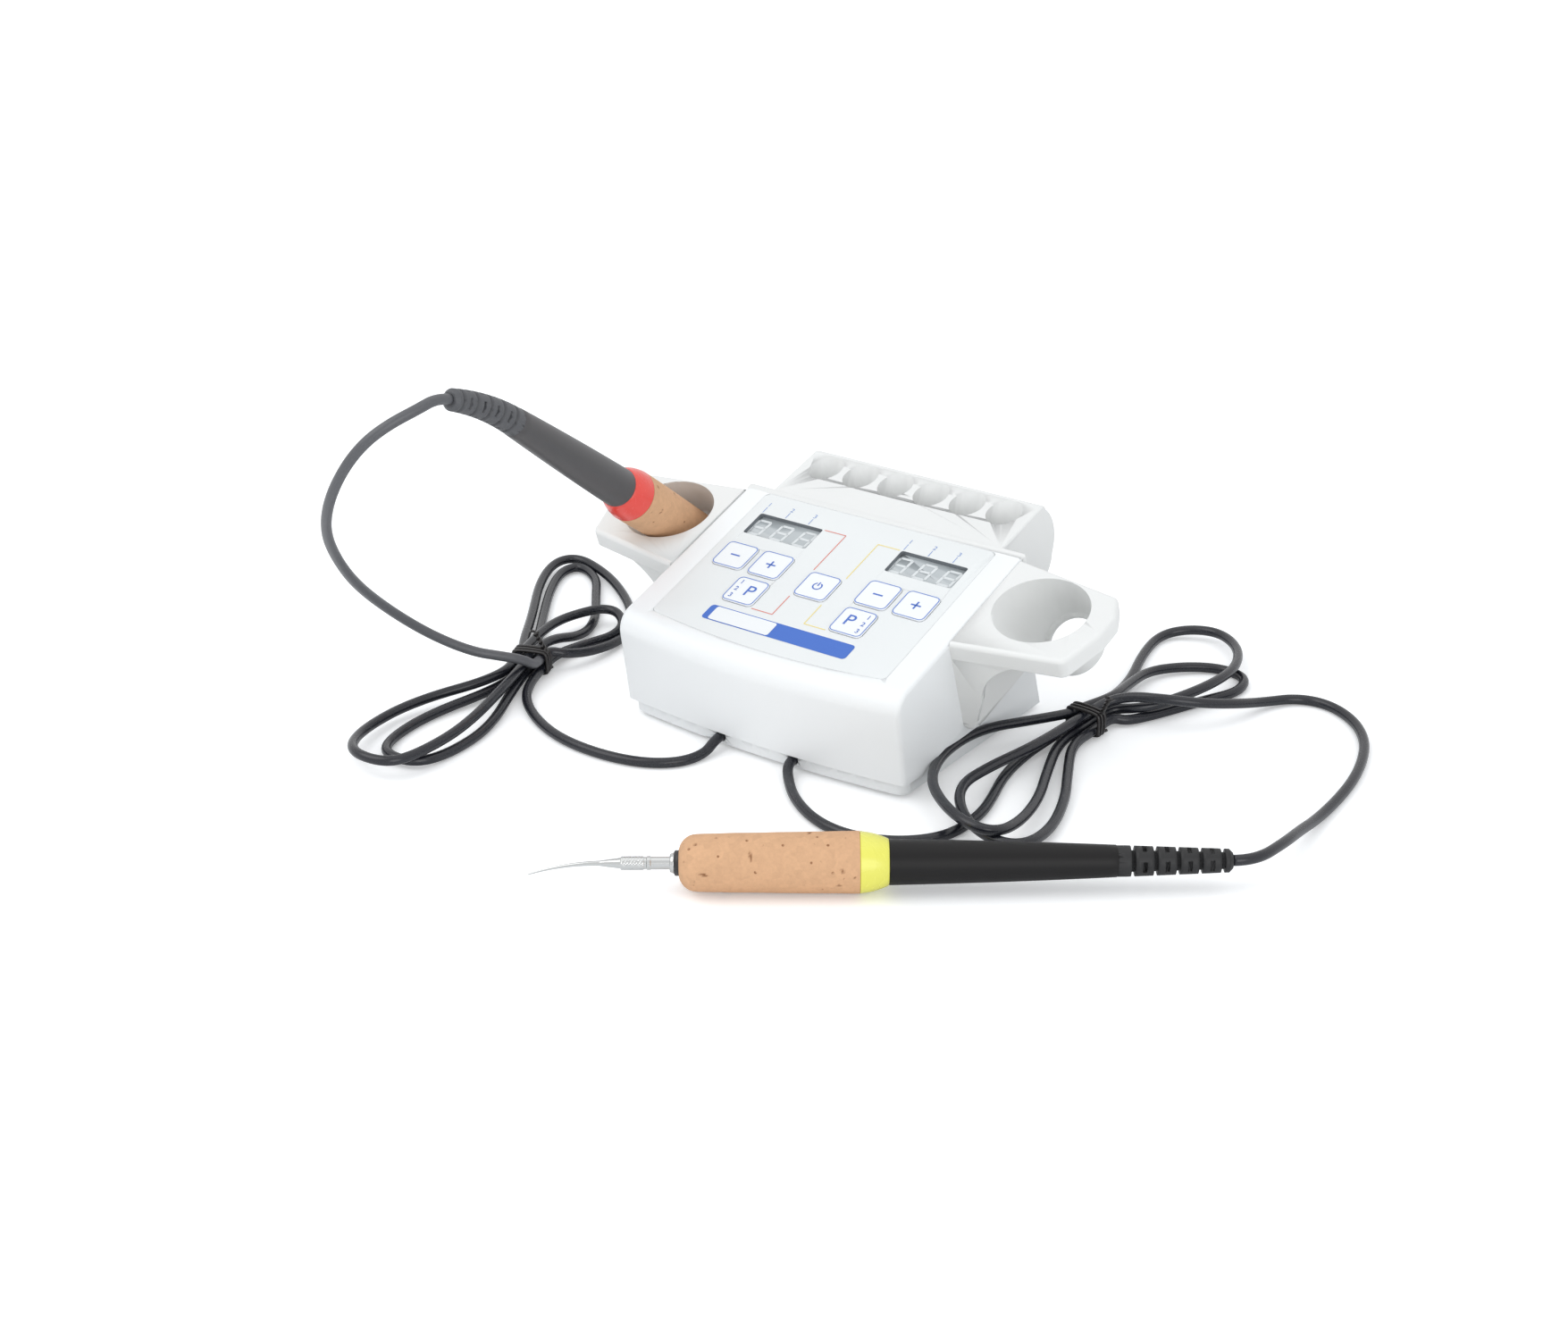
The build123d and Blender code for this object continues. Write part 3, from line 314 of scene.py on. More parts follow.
# Finishes
def moulded(name, colour, roughness, grain, fine, spread, marks=0.0, metallic=0.0, coat=0.0, gloss=0.5):
    """Moulded, printed or plated surface: broad colour change, fine grain and marks in the gloss"""
    made, tree, shader, place = new_finish(name)
    texture = group_node(tree, "grain", {"Vector": place, "Fine scale": fine})
    mask = texture["Mask"]
    rough = spread_node(tree, mask, roughness - 0.05, roughness + 0.05)
    if marks:
        wear = group_node(tree, "marks", {"Vector": place})["Mask"]
        rough = math_node(tree, "MULTIPLY_ADD", wear, marks, rough)
    set_inputs(tree, shader, {
        "Base Color": blend_node(tree, mask, tone(colour, 1 - spread), tone(colour, 1 + spread)),
        "Roughness": rough,
        "Normal": bump_node(tree, texture["Height"], grain * 10, 0.02),
        "Metallic": metallic,
        "Specular IOR Level": gloss,
        "Coat Weight": coat,
        "Coat Roughness": 0.12,
    })
    return made


def cork_finish(colour):
    """Agglomerated cork: granules of several tones, fine fibre, dark bark specks and pores"""
    made, tree, shader, place = new_finish("Cork")
    warp = add_node(tree, "TexNoise", {"Vector": place, "Scale": 420.0, "Detail": 4.0}).outputs[0]
    granule = add_node(tree, "TexVoronoi", {"Vector": place, "Scale": 480.0, "Randomness": 1.0})
    grey = add_node(tree, "RGBToBW", {"Color": granule.outputs["Color"]}).outputs[0]
    inputs = {"Vector": place, "Scale": 900.0, "Detail": 8.0, "Roughness": 0.75}
    fibre = add_node(tree, "TexNoise", inputs).outputs[0]
    speck = add_node(tree, "TexVoronoi", {"Vector": place, "Scale": 330.0}, feature="F1").outputs["Distance"]
    spots = ramp_node(tree, speck, 0.10, 0.18, True)
    bark = math_node(tree, "MULTIPLY", spots, ramp_node(tree, warp, 0.50, 0.62))
    pit = add_node(tree, "Attribute", attribute_name="pit").outputs["Fac"]
    ground = blend_node(tree, grey, tone(colour, 0.94), tone(colour, 1.05))
    ground = blend_node(tree, spread_node(tree, fibre, -0.35, 0.55), ground, tone(colour, 0.62))
    ground = blend_node(tree, bark, ground, (0.26, 0.12, 0.055, 1.0))
    ground = blend_node(tree, pit, ground, (0.24, 0.11, 0.05, 1.0))
    set_inputs(tree, shader, {
        "Base Color": ground,
        "Roughness": 0.78,
        "Specular IOR Level": 0.25,
        "Normal": bump_node(tree, fibre, 0.5, 0.15),
    })
    return made


def cord_finish(name, colour, roughness):
    """Extruded cord sheath: faint drawn lines along it and handled patches, on the piece's own UV map"""
    made, tree, shader, place = new_finish(name)
    run = add_node(tree, "UVMap", uv_map="run").outputs["UV"]
    stretch = add_node(tree, "Mapping", {"Vector": run, "Scale": (30.0, 9.0, 1.0)}).outputs["Vector"]
    drawn = add_node(tree, "TexNoise", {"Vector": stretch, "Scale": 3.0, "Detail": 5.0}).outputs[0]
    height = group_node(tree, "grain", {"Vector": place})["Height"]
    set_inputs(tree, shader, {
        "Base Color": blend_node(tree, drawn, tone(colour, 0.8), tone(colour, 1.25)),
        "Roughness": spread_node(tree, drawn, roughness - 0.08, roughness + 0.1),
        "Specular IOR Level": 0.5,
        "Normal": bump_node(tree, height, 0.25, 0.02),
    })
    return made


# Cord finishes: name, colour, roughness
CORD_FINISHES = {
    "cord": ("Cord sheath", (0.012, 0.013, 0.018), 0.24),
    # Lighter copy of the black sheath: painted light for the left lead, which lies in stronger light
    "cord_painted_light": ("Cord sheath painted lighter", (0.085, 0.087, 0.095), 0.36),
    "tie": ("Tie wire", (0.014, 0.012, 0.012), 0.28),
}
FINISHES = {}


def moulded_values(name):
    """Values of a moulded finish, in the order that moulded() takes them"""
    station = bpy.context.scene.wax_station
    hand = bpy.context.scene.wax_handpiece
    return {
        "housing": ("Housing white", station.housing, 0.34, 0.02, 2600, 0.012, 0.10),
        "moulding": ("Moulding grey", station.moulding, 0.46, 0.05, 1800, 0.02, 0.06),
        "foil": ("Membrane foil", station.foil, 0.42, 0.03, 3200, 0.012, 0.05),
        "key": ("Membrane key", (0.80, 0.82, 0.83), 0.38, 0.03, 3200, 0.012, 0.05),
        "key_side": ("Key edge", (0.78, 0.80, 0.84), 0.42, 0.03, 3200, 0.02),
        "blue": ("Print blue", station.print_blue, 0.40, 0.02, 3200, 0.03),
        "outline": ("Print outline blue", (0.11, 0.21, 0.56), 0.40, 0.02, 3200, 0.03),
        "strip": ("Strip blue", (0.04, 0.135, 0.51), 0.40, 0.02, 3200, 0.02, 0.05),
        "pale_blue": ("Print pale blue", (0.18, 0.29, 0.58), 0.42, 0.02, 3200, 0.03),
        "print_red": ("Print red", (0.66, 0.20, 0.16), 0.42, 0.02, 3200, 0.03),
        "print_yellow": ("Print yellow", (0.80, 0.66, 0.22), 0.42, 0.02, 3200, 0.03),
        "plate": ("Bare plate", (0.78, 0.80, 0.81), 0.36, 0.02, 3200, 0.01),
        "display": ("Display face", (0.44, 0.475, 0.49), 0.16, 0.01, 1500, 0.03, 0.05, 0.0, 0.5),
        "segment": ("Display segment", (0.67, 0.70, 0.71), 0.30, 0.01, 1500, 0.02),
        # Dark frame on the display windows' walls: painted shade of the recess
        "gasket": ("Window gasket", (0.16, 0.175, 0.19), 0.6, 0.05, 1500, 0.05),
        "ring_red": ("Ring red", hand.ring_red, 0.26, 0.01, 900, 0.03, 0.08, 0.0, 0.3),
        "ring_yellow": ("Ring yellow", hand.ring_yellow, 0.28, 0.01, 900, 0.02, 0.08, 0.0, 0.3),
        "handle_yellow": ("Handle satin black", hand.handle, 0.40, 0.06, 1500, 0.10, 0.12, 0.0, 0.0, 0.2),
        # Same satin black as the other handle, made lighter grey as painted light where the red handpiece
        # lies in stronger light
        "handle_red": ("Handle satin grey", tone(hand.handle, 6.1), 0.42, 0.06, 1500, 0.08, 0.10),
        "boot_yellow": ("Boot rubber", (0.018, 0.018, 0.019), 0.50, 0.10, 1400, 0.12, 0.08, 0.0, 0.0, 0.35),
        # Same black rubber as the other boot, made lighter grey as painted light where the red handpiece lies
        # in stronger light
        "boot_red": ("Boot rubber grey", (0.075, 0.077, 0.084), 0.52, 0.10, 1400, 0.08, 0.08),
        "rubber": ("Foot rubber", (0.026, 0.026, 0.028), 0.55, 0.10, 1400, 0.12, 0.08),
        "clamp": ("Clamp rubber", (0.16, 0.165, 0.17), 0.55, 0.10, 1400, 0.08),
        "black": ("Black moulding", (0.02, 0.02, 0.021), 0.36, 0.05, 1600, 0.10),
        "chrome": ("Polished plating", (0.56, 0.57, 0.57), 0.17, 0.01, 1200, 0.03, 0.10, 1.0),
        "steel": ("Plated steel", (0.58, 0.59, 0.61), 0.30, 0.04, 1200, 0.06, 0.12, 1.0),
        "board": ("Solder mask", (0.02, 0.16, 0.06), 0.30, 0.02, 1500, 0.10),
        "package": ("Component package", (0.03, 0.03, 0.032), 0.50, 0.10, 2200, 0.08),
        "can": ("Component can", (0.62, 0.63, 0.66), 0.28, 0.02, 1200, 0.05, 0.05, 1.0),
        "header": ("Ivory header", (0.72, 0.68, 0.56), 0.45, 0.03, 1500, 0.03),
    }[name]


def finish(name):
    """Named finish of this object, made the first time it is asked for"""
    if name not in FINISHES:
        if name == "cork":
            FINISHES[name] = cork_finish(bpy.context.scene.wax_handpiece.cork)
        elif name in CORD_FINISHES:
            FINISHES[name] = cord_finish(*CORD_FINISHES[name])
        else:
            FINISHES[name] = moulded(*moulded_values(name))
    return FINISHES[name]


# Making and placing pieces
def only(obj):
    """Select one object and make it active"""
    bpy.ops.object.select_all(action="DESELECT")
    obj.select_set(True)
    bpy.context.view_layer.objects.active = obj


@contextmanager
def editing(obj):
    """Edit mode on one object with all of it selected, and back to object mode"""
    only(obj)
    bpy.ops.object.mode_set(mode="EDIT")
    bpy.ops.mesh.select_all(action="SELECT")
    yield
    bpy.ops.object.mode_set(mode="OBJECT")


def start(add, name, **size):
    """Add a primitive at its size and place, with its name, and nothing else selected"""
    bpy.ops.object.select_all(action="DESELECT")
    add(**size)
    obj = bpy.context.object
    obj.name = name
    obj.data.name = name
    bpy.ops.object.transform_apply(location=True, rotation=True, scale=True)
    return obj


def place_mesh(obj, matrix):
    """Put a finished mesh in its place, with its object at the origin"""
    obj.data.transform(matrix)
    obj.data.update()
    return obj


def coat(obj, finish_name, slot_name):
    """Give a piece its finish; slot_name is not used"""
    obj.data.materials.clear()
    obj.data.materials.append(finish(finish_name))
    return obj


def smooth(obj, degrees=32.0):
    """Smooth shading up to an angle"""
    only(obj)
    bpy.ops.object.shade_smooth_by_angle(angle=math.radians(degrees))
    return obj


def add_modifier(obj, kind, **values):
    """Add a modifier, set it and apply it"""
    only(obj)
    made = obj.modifiers.new(kind.title(), kind)
    for key, value in values.items():
        setattr(made, key, value)
    bpy.ops.object.modifier_apply(modifier=made.name)
    return obj


def copy_of(obj, name, matrix=None):
    """Copy of a piece with its own mesh"""
    made = bpy.data.objects.new(name, obj.data.copy())
    made.data.name = name
    bpy.context.scene.collection.objects.link(made)
    if matrix is not None:
        place_mesh(made, matrix)
    return made


def join(parts, name):
    """Join pieces into one"""
    bpy.ops.object.select_all(action="DESELECT")
    for part in parts:
        part.select_set(True)
    bpy.context.view_layer.objects.active = parts[0]
    bpy.ops.object.join()
    parts[0].name = name
    parts[0].data.name = name
    return parts[0]


def dressed_copy(node, finish_name, slot_name, body, degrees=32.0, name=None):
    """Merged and smoothly shaded copy of a CAD solid that stands for it"""
    made = bpy.data.objects.new(name or f"{node}_shell", frame["nodes"][node].data.copy())
    bpy.context.scene.collection.objects.link(made)
    with editing(made):
        bpy.ops.mesh.remove_doubles(threshold=0.002 * MM)
    smooth(made, degrees)
    add_modifier(made, "WEIGHTED_NORMAL", weight=60, keep_sharp=True)
    coat(made, finish_name, slot_name)
    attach(made, body)
    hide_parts(node)
    return made


def dress_node(node, finish_name):
    """Give a kept CAD solid its finish through the object's slot"""
    obj = frame["nodes"][node]
    if not obj.material_slots:
        obj.data.materials.append(None)
    obj.material_slots[0].material = finish(finish_name)


def turn(name, outline, sides=64, open_bore=False):
    """Turned piece: a ring drawn at the first radius and extruded from step to step of radius and height"""
    radius, height = outline[0]
    fill = "NOTHING" if open_bore else "NGON"
    obj = start(
        bpy.ops.mesh.primitive_circle_add, name, vertices=sides, radius=radius, fill_type=fill,
        location=(0, 0, height),
    )
    with editing(obj):
        for next_radius, next_height in outline[1:]:
            bpy.ops.mesh.extrude_region_move(TRANSFORM_OT_translate={"value": (0, 0, next_height - height)})
            share = next_radius / radius
            bpy.ops.transform.resize(value=(share, share, 1), center_override=(0, 0, next_height))
            radius, height = next_radius, next_height
        bpy.ops.mesh.select_all(action="SELECT")
        if open_bore:
            bpy.ops.mesh.remove_doubles(threshold=0.001 * MM)
        bpy.ops.mesh.normals_make_consistent(inside=False)
    return obj


def placement(x, y, z, origin):
    """Matrix with these axes and this origin"""
    matrix = Matrix.Identity(4)
    for column, axis in enumerate((x, y, z)):
        matrix.col[column] = (*axis, 0.0)
    matrix.col[3] = (*origin, 1.0)
    return matrix


def hand_matrix(front, out, up):
    """Place of a handpiece: origin at the front of the cork, Z towards the cord, X up"""
    z = out.normalized()
    y = z.cross(up).normalized()
    return placement(y.cross(z), y, z, front)


def cork_front(node, out):
    """Point of the cork's axis at its front face, from the CAD solid"""
    mesh = frame["nodes"][node].data
    reach = [(v.co.dot(out), v.co) for v in mesh.vertices]
    low = min(r for r, _ in reach)
    front = [co for r, co in reach if r < low + 0.02 * MM]
    return sum(front, Vector()) / len(front)


def hand_places():
    """Places of both handpieces, read from the CAD solids"""
    level = math.cos(BORE_PITCH)
    red_out = Vector((math.sin(BORE_SPLAY) * level, -math.cos(BORE_SPLAY) * level, math.sin(BORE_PITCH)))
    red_up = Vector((0, math.sin(BORE_PITCH), math.cos(BORE_PITCH)))
    yellow_out = Vector((math.cos(YELLOW_YAW), math.sin(YELLOW_YAW), 0))
    return {
        "red": hand_matrix(cork_front("cork_grip_red", red_out), red_out, red_up),
        "yellow": hand_matrix(cork_front("cork_grip_yellow", yellow_out), yellow_out, Vector((0, 0, 1))),
    }


# Cords in millimetres: height of a cord on the bench, strands' spacing and lowest height in a waist
CORD_Z = 1.65
STRAND = 3.8
WAIST_Z = 2.85
TIE_REACH = 3.2 / 2 + 0.5 + 0.12
TIE_CUT = 1.25

# Place across the panel of each cord inside the base, in millimetres
WIRE_X = {"left": -14.3, "right": 13.0}


def waist_at(x, y, angle):
    """Waist of a hank: its centre on the bench, its run and the direction across it"""
    run = Vector((math.cos(math.radians(angle)), math.sin(math.radians(angle)), 0))
    return Vector((x, y, 0)), run, Vector((run.y, -run.x, 0))


LEFT_WAIST = waist_at(-97.0, -35.0, 111.0)
RIGHT_WAIST = waist_at(72.5, 31.5, 88.0)

# Left cord in millimetres: out of its clamp, along the bench to its hank and round the hank's five loops
LEFT_ROUTE = (
    (-14.3, -39.2, 4.1), (-14.3, -44.0, 4.1), (-13.6, -51.0, 1.65), (-17.0, -60.5, 1.65),
    (-27.0, -67.0, 1.65), (-42.0, -69.5, 1.65), (-58.0, -68.0, 1.65), (-72.5, -62.0, 1.65),
    (-84.0, -53.5, 1.65), (-88.9, -45.4, 2.85), (-92.8, -35.3, 2.85), (-94.1, -32.0, 2.85),
    (-96.2, -22.9, 2.85), (-94.3, -8.2, 1.7), (-90.7, -1.3, 2.4), (-90.6, 4.9, 4.4), (-98.2, 10.4, 5.4),
    (-103.9, 8.3, 5.7), (-107.0, 1.5, 5.7), (-108.9, -7.3, 5.8), (-106.9, -18.8, 6.3),
    (-101.2, -34.7, 6.65), (-99.9, -38.0, 6.65), (-94.0, -53.5, 6.65), (-109.5, -78.3, 3.4),
    (-108.5, -102.7, 3.4), (-97.7, -118.5, 6.21), (-82.5, -117.9, 6.21), (-79.0, -107.4, 6.13),
    (-79.9, -85.4, 6.13), (-89.8, -53.8, 6.65), (-96.4, -36.7, 6.65), (-97.6, -33.3, 6.65),
    (-100.2, -22.0, 6.65), (-99.6, -6.5, 2), (-104.9, 6.8, 1.65), (-117.5, 21.9, 1.65),
    (-127.7, 34.6, 1.8), (-139.5, 39.8, 1.9), (-141.8, 32.2, 1.9), (-135.1, 18.1, 1.65),
    (-121.6, -1.4, 1.65), (-106.6, -21.6, 2.85), (-97.6, -33.3, 2.85), (-96.4, -36.7, 2.85),
    (-91.0, -50.7, 2.85), (-79.6, -74.7, 1.65), (-77.6, -94.5, 1.65), (-80.3, -107.4, 2.52),
    (-92.5, -108.6, 2.52), (-99.4, -99.5, 1.65), (-101.4, -79.9, 1.65), (-94.2, -52.8, 2.85),
    (-99.9, -38.0, 2.85), (-101.2, -34.7, 2.85), (-111.0, -23.9, 2.85), (-123.0, -5.7, 2.2),
    (-141.2, 19.4, 2.4), (-147.5, 35.4, 3.2), (-142.5, 42.9, 3.2), (-127.0, 38.3, 2.7),
    (-115.0, 31.7, 2.2), (-103.0, 22.8, 1.65), (-92.3, 11.1, 1.65), (-87.0, -1.5, 1.8),
    (-87.2, -15.7, 3.2), (-89.6, -26.3, 5.6), (-93.3, -29.1, 6.65), (-94.1, -32.0, 6.65),
    (-92.8, -35.3, 6.65), (-92.2, -37.0, 6.65),
)
# Right cord in millimetres: out of its clamp, past the station to its hank and round the hank's four loops
RIGHT_ROUTE = (
    (13.0, -39.2, 4.1), (13.0, -44.0, 4.1), (15.4, -47.9, 1.65), (25.7, -58.6, 1.65),
    (39.0, -65.9, 1.65), (51.8, -67.2, 1.65), (64.9, -62.4, 1.65), (74.6, -51.6, 1.65),
    (75.5, -36.0, 1.65), (73.2, -25.6, 1.65), (67.9, -9.3, 1.65), (66.4, 6.7, 1.65), (68.2, 18.0, 2.85),
    (68.6, 29.8, 2.85), (68.8, 33.4, 2.85), (69.4, 51.5, 2.85), (67.5, 68.4, 1.65), (60.5, 90.1, 1.65),
    (58.0, 106.5, 1.65), (65.0, 113.5, 3.2), (75.7, 115.9, 3.8), (87.1, 106.8, 4.4), (93.9, 91.3, 5.4),
    (94.4, 75.3, 6.4), (90.3, 58.9, 6.4), (83.1, 47.9, 5), (73.0, 46.0, 2.85), (72.6, 33.3, 2.85),
    (72.4, 29.7, 2.85), (71.7, 15.7, 2.85), (79.1, -3.6, 2.9), (85.2, -18.1, 3), (89.5, -34.9, 4.4),
    (90.6, -49.7, 7.4), (83.8, -53.6, 9), (71.4, -48.2, 9), (57.4, -34.7, 7.6), (50.2, -16.7, 6.7),
    (50.8, 3.6, 6.65), (61.1, 18.4, 6.65), (68.6, 29.8, 6.65), (68.8, 33.4, 6.65), (73.3, 47.0, 6.65),
    (70.8, 61.6, 4.6), (69.3, 77.6, 2.68), (76.7, 88.3, 2.2), (86.5, 95.0, 1.65), (97.0, 93.3, 1.65),
    (99.5, 82.1, 1.65), (92.7, 69.4, 1.65), (86.5, 54.8, 1.65), (80.9, 43.0, 2), (76.6, 40.9, 2.85),
    (76.4, 33.2, 2.85), (76.2, 29.6, 2.85), (75.7, 17.1, 2.85), (83.7, 1.1, 2.3), (91.6, -14.0, 2.3),
    (97.3, -31.8, 2.3), (97.6, -47.4, 4.3), (88.9, -50.5, 4.6), (75.9, -45.7, 5.8), (65.4, -31.6, 6.6),
    (66.5, -15.5, 6.6), (70.7, 4.4, 6.65), (72.4, 29.7, 6.65), (72.6, 33.3, 6.65), (72.6, 35.1, 6.65),
)


# Length of a handpiece, and the part of it that is the boot, in millimetres
HAND_L = 152.7
BOOT_L = 31.8
BOOT_BEND = math.radians(16.0)


def bent(across, beside, along_axis):
    """Place of a point of the red handpiece's boot, which its cord bends down, in its own millimetres"""
    root = HAND_L - BOOT_L
    if along_axis <= root:
        return Vector((across, beside, along_axis))
    a = BOOT_BEND * (along_axis - root) / BOOT_L
    radius = BOOT_L / BOOT_BEND
    return Vector(((across + radius) * math.cos(a) - radius, beside, root + (across + radius) * math.sin(a)))


def bent_end(place):
    """End of the bent boot in millimetres, and the direction in which the cord leaves it"""
    end = place @ (bent(0, 0, HAND_L) * MM) / MM
    before = place @ (bent(0, 0, HAND_L - 0.5) * MM) / MM
    return end, (end - before).normalized()


def left_lead_route():
    """Left lead: from the hank, over it and up in an arch to the red handpiece"""
    first = Vector(LEFT_ROUTE[-1])
    end, out = bent_end(hand_places()["red"])
    return [
        first,
        first - LEFT_WAIST[1] * 4,
        (-90.3, -46.0, 10.8),
        (-94.0, -52.0, 13.4),
        (-100.8, -59.0, 15.9),
        (-108.8, -69.0, 23.5),
        (-112.4, -82.5, 36.0),
        (-110.3, -97.5, 50.5),
        (-104.6, -110.0, 65.0),
        (-96.5, -120.8, 79.0),
        (-87.0, -127.3, 92.5),
        (-78.5, -128.6, 104.5),
        (-72.6, -125.6, 112.6),
        (-67.6, -120.2, 117.6),
        (-64.0, -112.6, 120.4),
        end + out * 5.5,
        end,
    ]


def right_lead_route():
    """Right lead: from the hank, over it and round to the yellow handpiece"""
    first = Vector(RIGHT_ROUTE[-1])
    place = hand_places()["yellow"]
    out = place.col[2].xyz
    end = place.col[3].xyz / MM + out * HAND_L
    return [
        first,
        first + RIGHT_WAIST[1] * 6.5,
        (79.5, 46.0, 9.1),
        (91.0, 48.5, 10.2),
        (100.4, 55.5, 8.6),
        (106.2, 66.8, 5.6),
        (109.6, 78.6, 2.4),
        (116.5, 89.0, CORD_Z),
        (127.0, 90.8, CORD_Z),
        (138.5, 84.5, CORD_Z),
        (147.0, 73.5, CORD_Z),
        (152.0, 60.0, CORD_Z),
        (155.0, 46.0, CORD_Z),
        (156.2, 31.5, CORD_Z),
        (156.8, 17.5, 2.4),
        (157.6, 4.5, 5.0),
        (158.9, -8.0, 7.4),
        end + out * 6.5,
        end,
    ]


def smooth_line(points, name, fineness=10):
    """Points along the NURBS line that has these control points, in metres"""
    data = bpy.data.curves.new(name, "CURVE")
    data.dimensions = "3D"
    data.resolution_u = fineness
    spline = data.splines.new("NURBS")
    spline.points.add(len(points) - 1)
    for spot, point in zip(spline.points, points):
        spot.co = (*(Vector(point) * MM), 1.0)
    spline.order_u = 3
    spline.use_endpoint_u = True
    obj = bpy.data.objects.new(name, data)
    bpy.context.scene.collection.objects.link(obj)
    read = bpy.data.meshes.new_from_object(obj)
    line = [v.co.copy() for v in read.vertices]
    bpy.data.objects.remove(obj)
    bpy.data.meshes.remove(read)
    return line


def sheath(line, name, radius, sides=14, radii=None):
    """Round tube along a line, with closed ends and a UV map that runs along it"""
    count = len(line)
    ways = [(line[min(i + 1, count - 1)] - line[max(i - 1, 0)]).normalized() for i in range(count)]
    side = ways[0].orthogonal().normalized()
    vertices, faces, runs = [], [], []
    run = 0.0
    for i, (point, way) in enumerate(zip(line, ways)):
        side = (side - way * side.dot(way)).normalized()
        other = way.cross(side)
        r = radii[i] if radii else radius
        for k in range(sides):
            a = 2 * math.pi * k / sides
            vertices.append(point + side * (r * math.cos(a)) + other * (r * math.sin(a)))
        if i:
            run += (point - line[i - 1]).length
        runs.append(run)
    for i in range(count - 1):
        for k in range(sides):
            a, b = i * sides + k, i * sides + (k + 1) % sides
            faces.append((a, b, b + sides, a + sides))
    faces.append(tuple(reversed(range(sides))))
    faces.append(tuple(range((count - 1) * sides, count * sides)))
    mesh = bpy.data.meshes.new(name)
    mesh.from_pydata(vertices, [], faces)
    mesh.update()
    layer = mesh.uv_layers.new(name="run")
    for polygon in mesh.polygons:
        polygon.use_smooth = len(polygon.vertices) == 4
        for corner in polygon.loop_indices:
            ring, k = divmod(mesh.loops[corner].vertex_index, sides)
            across = k / sides
            if k == 0 and polygon.index % sides == sides - 1:
                across = 1.0
            layer.data[corner].uv = (runs[ring] / 0.1, across)
    obj = bpy.data.objects.new(name, mesh)
    bpy.context.scene.collection.objects.link(obj)
    return obj


def tie_line(waist, columns, rows, turns, pitch, loose):
    """Line of a tie wire wound round a hank's waist in flattened turns"""
    centre, run, across = waist
    half = columns * STRAND / 2 + TIE_REACH
    low = WAIST_Z - TIE_REACH
    high = WAIST_Z + (rows - 1) * STRAND + TIE_REACH
    cut = TIE_CUT
    ring = (
        (half, low + cut), (half, high - cut), (half - cut, high), (cut - half, high),
        (-half, high - cut), (-half, low + cut), (cut - half, low), (half - cut, low),
    )
    points = []
    total = turns * len(ring)
    for k in range(total + 1):
        out, z = ring[k % len(ring)]
        sway = loose * math.sin(k * 1.7)
        along = (k / total - 0.5) * pitch * turns
        points.append(centre + across * out + run * (along + sway) + Vector((0, 0, z)))
    return points


def tie_piece(waist, name, lean):
    """Tie: wire turns and its two ends twisted together"""
    radius = bpy.context.scene.wax_cord.tie_diameter / 2
    wound_line = smooth_line(tie_line(waist, 2, 2, 3, 1.75, 0.18), name, 6)
    parts = [sheath(wound_line, name, radius, 10)]
    centre, run, across = waist
    root = centre + across * (2 * STRAND / 2 + 1.4) + Vector((0, 0, WAIST_Z + STRAND + 1.6))
    for phase in (0.0, math.pi):
        twist = []
        for k in range(22):
            share = k / 21
            a = share * math.pi * 5 + phase
            spread = 0.52 if share < 0.82 else 0.52 + (share - 0.82) * 5
            spot = root + (Vector((0, 0, 1)) + across * lean[0] + run * lean[1]).normalized() * (share * 8.0)
            twist.append(spot + across * (spread * math.cos(a)) + run * (spread * math.sin(a)))
        parts.append(sheath(smooth_line(twist, name, 4), f"{name}_end", radius * 0.85, 8))
    return join(parts, name)


class WAX_OT_cords(bpy.types.Operator):
    """Both cords with their hanks, leads and ties"""

    bl_idname = "wax.cords"
    bl_label = "Cords and ties"

    def execute(self, context):
        sizes = context.scene.wax_cord
        radius = sizes.diameter / 2
        ties = {}
        for side, waist, lean in (("left", LEFT_WAIST, (-0.9, 0.5)), ("right", RIGHT_WAIST, (0.5, -0.2))):
            ties[side] = coat(tie_piece(waist, f"tie_wire_{side}", lean), "tie", "tie")
            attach(ties[side], "station")
            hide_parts(f"tie_{side}")
        stays = (
            ("left", LEFT_ROUTE, ("cord_left_station", "hank_left")),
            ("right", RIGHT_ROUTE, ("cord_right_station", "hank_right")),
        )
        for side, route, nodes in stays:
            line = smooth_line(route, f"cord_{side}", 10)
            cord = coat(sheath(line, f"cord_{side}", radius, sizes.sides), "cord", "cord")
            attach(cord, "station")
            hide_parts(*nodes)
        # The left lead is the same black cord, given the lighter copy of its sheath as painted light
        leads = (
            ("left", left_lead_route(), "red", "cord_painted_light", (0, 0, 0.030), (0, 0, 0.122)),
            ("right", right_lead_route(), "yellow", "cord", (0.150, 0.055, 0), (0.176, -0.0197, 0)),
        )
        for side, route, colour, finish_name, first, last in leads:
            node = f"cord_{side}_handpiece"
            line = smooth_line(route, f"lead_{side}", 10)
            lead = coat(sheath(line, f"lead_{side}", radius, sizes.sides), finish_name, "cord")
            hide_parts(node)
            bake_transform(lead)
        return {"FINISHED"}


# Printed panel
def flat_plate(name, width, height, corner):
    """Flat rounded plate drawn round the origin"""
    obj = start(bpy.ops.mesh.primitive_plane_add, name, size=1.0)
    with editing(obj):
        bpy.ops.transform.resize(value=(width, height, 1), center_override=(0, 0, 0))
        if corner:
            bpy.ops.mesh.bevel(offset=corner, segments=6, affect="VERTICES")
    return obj


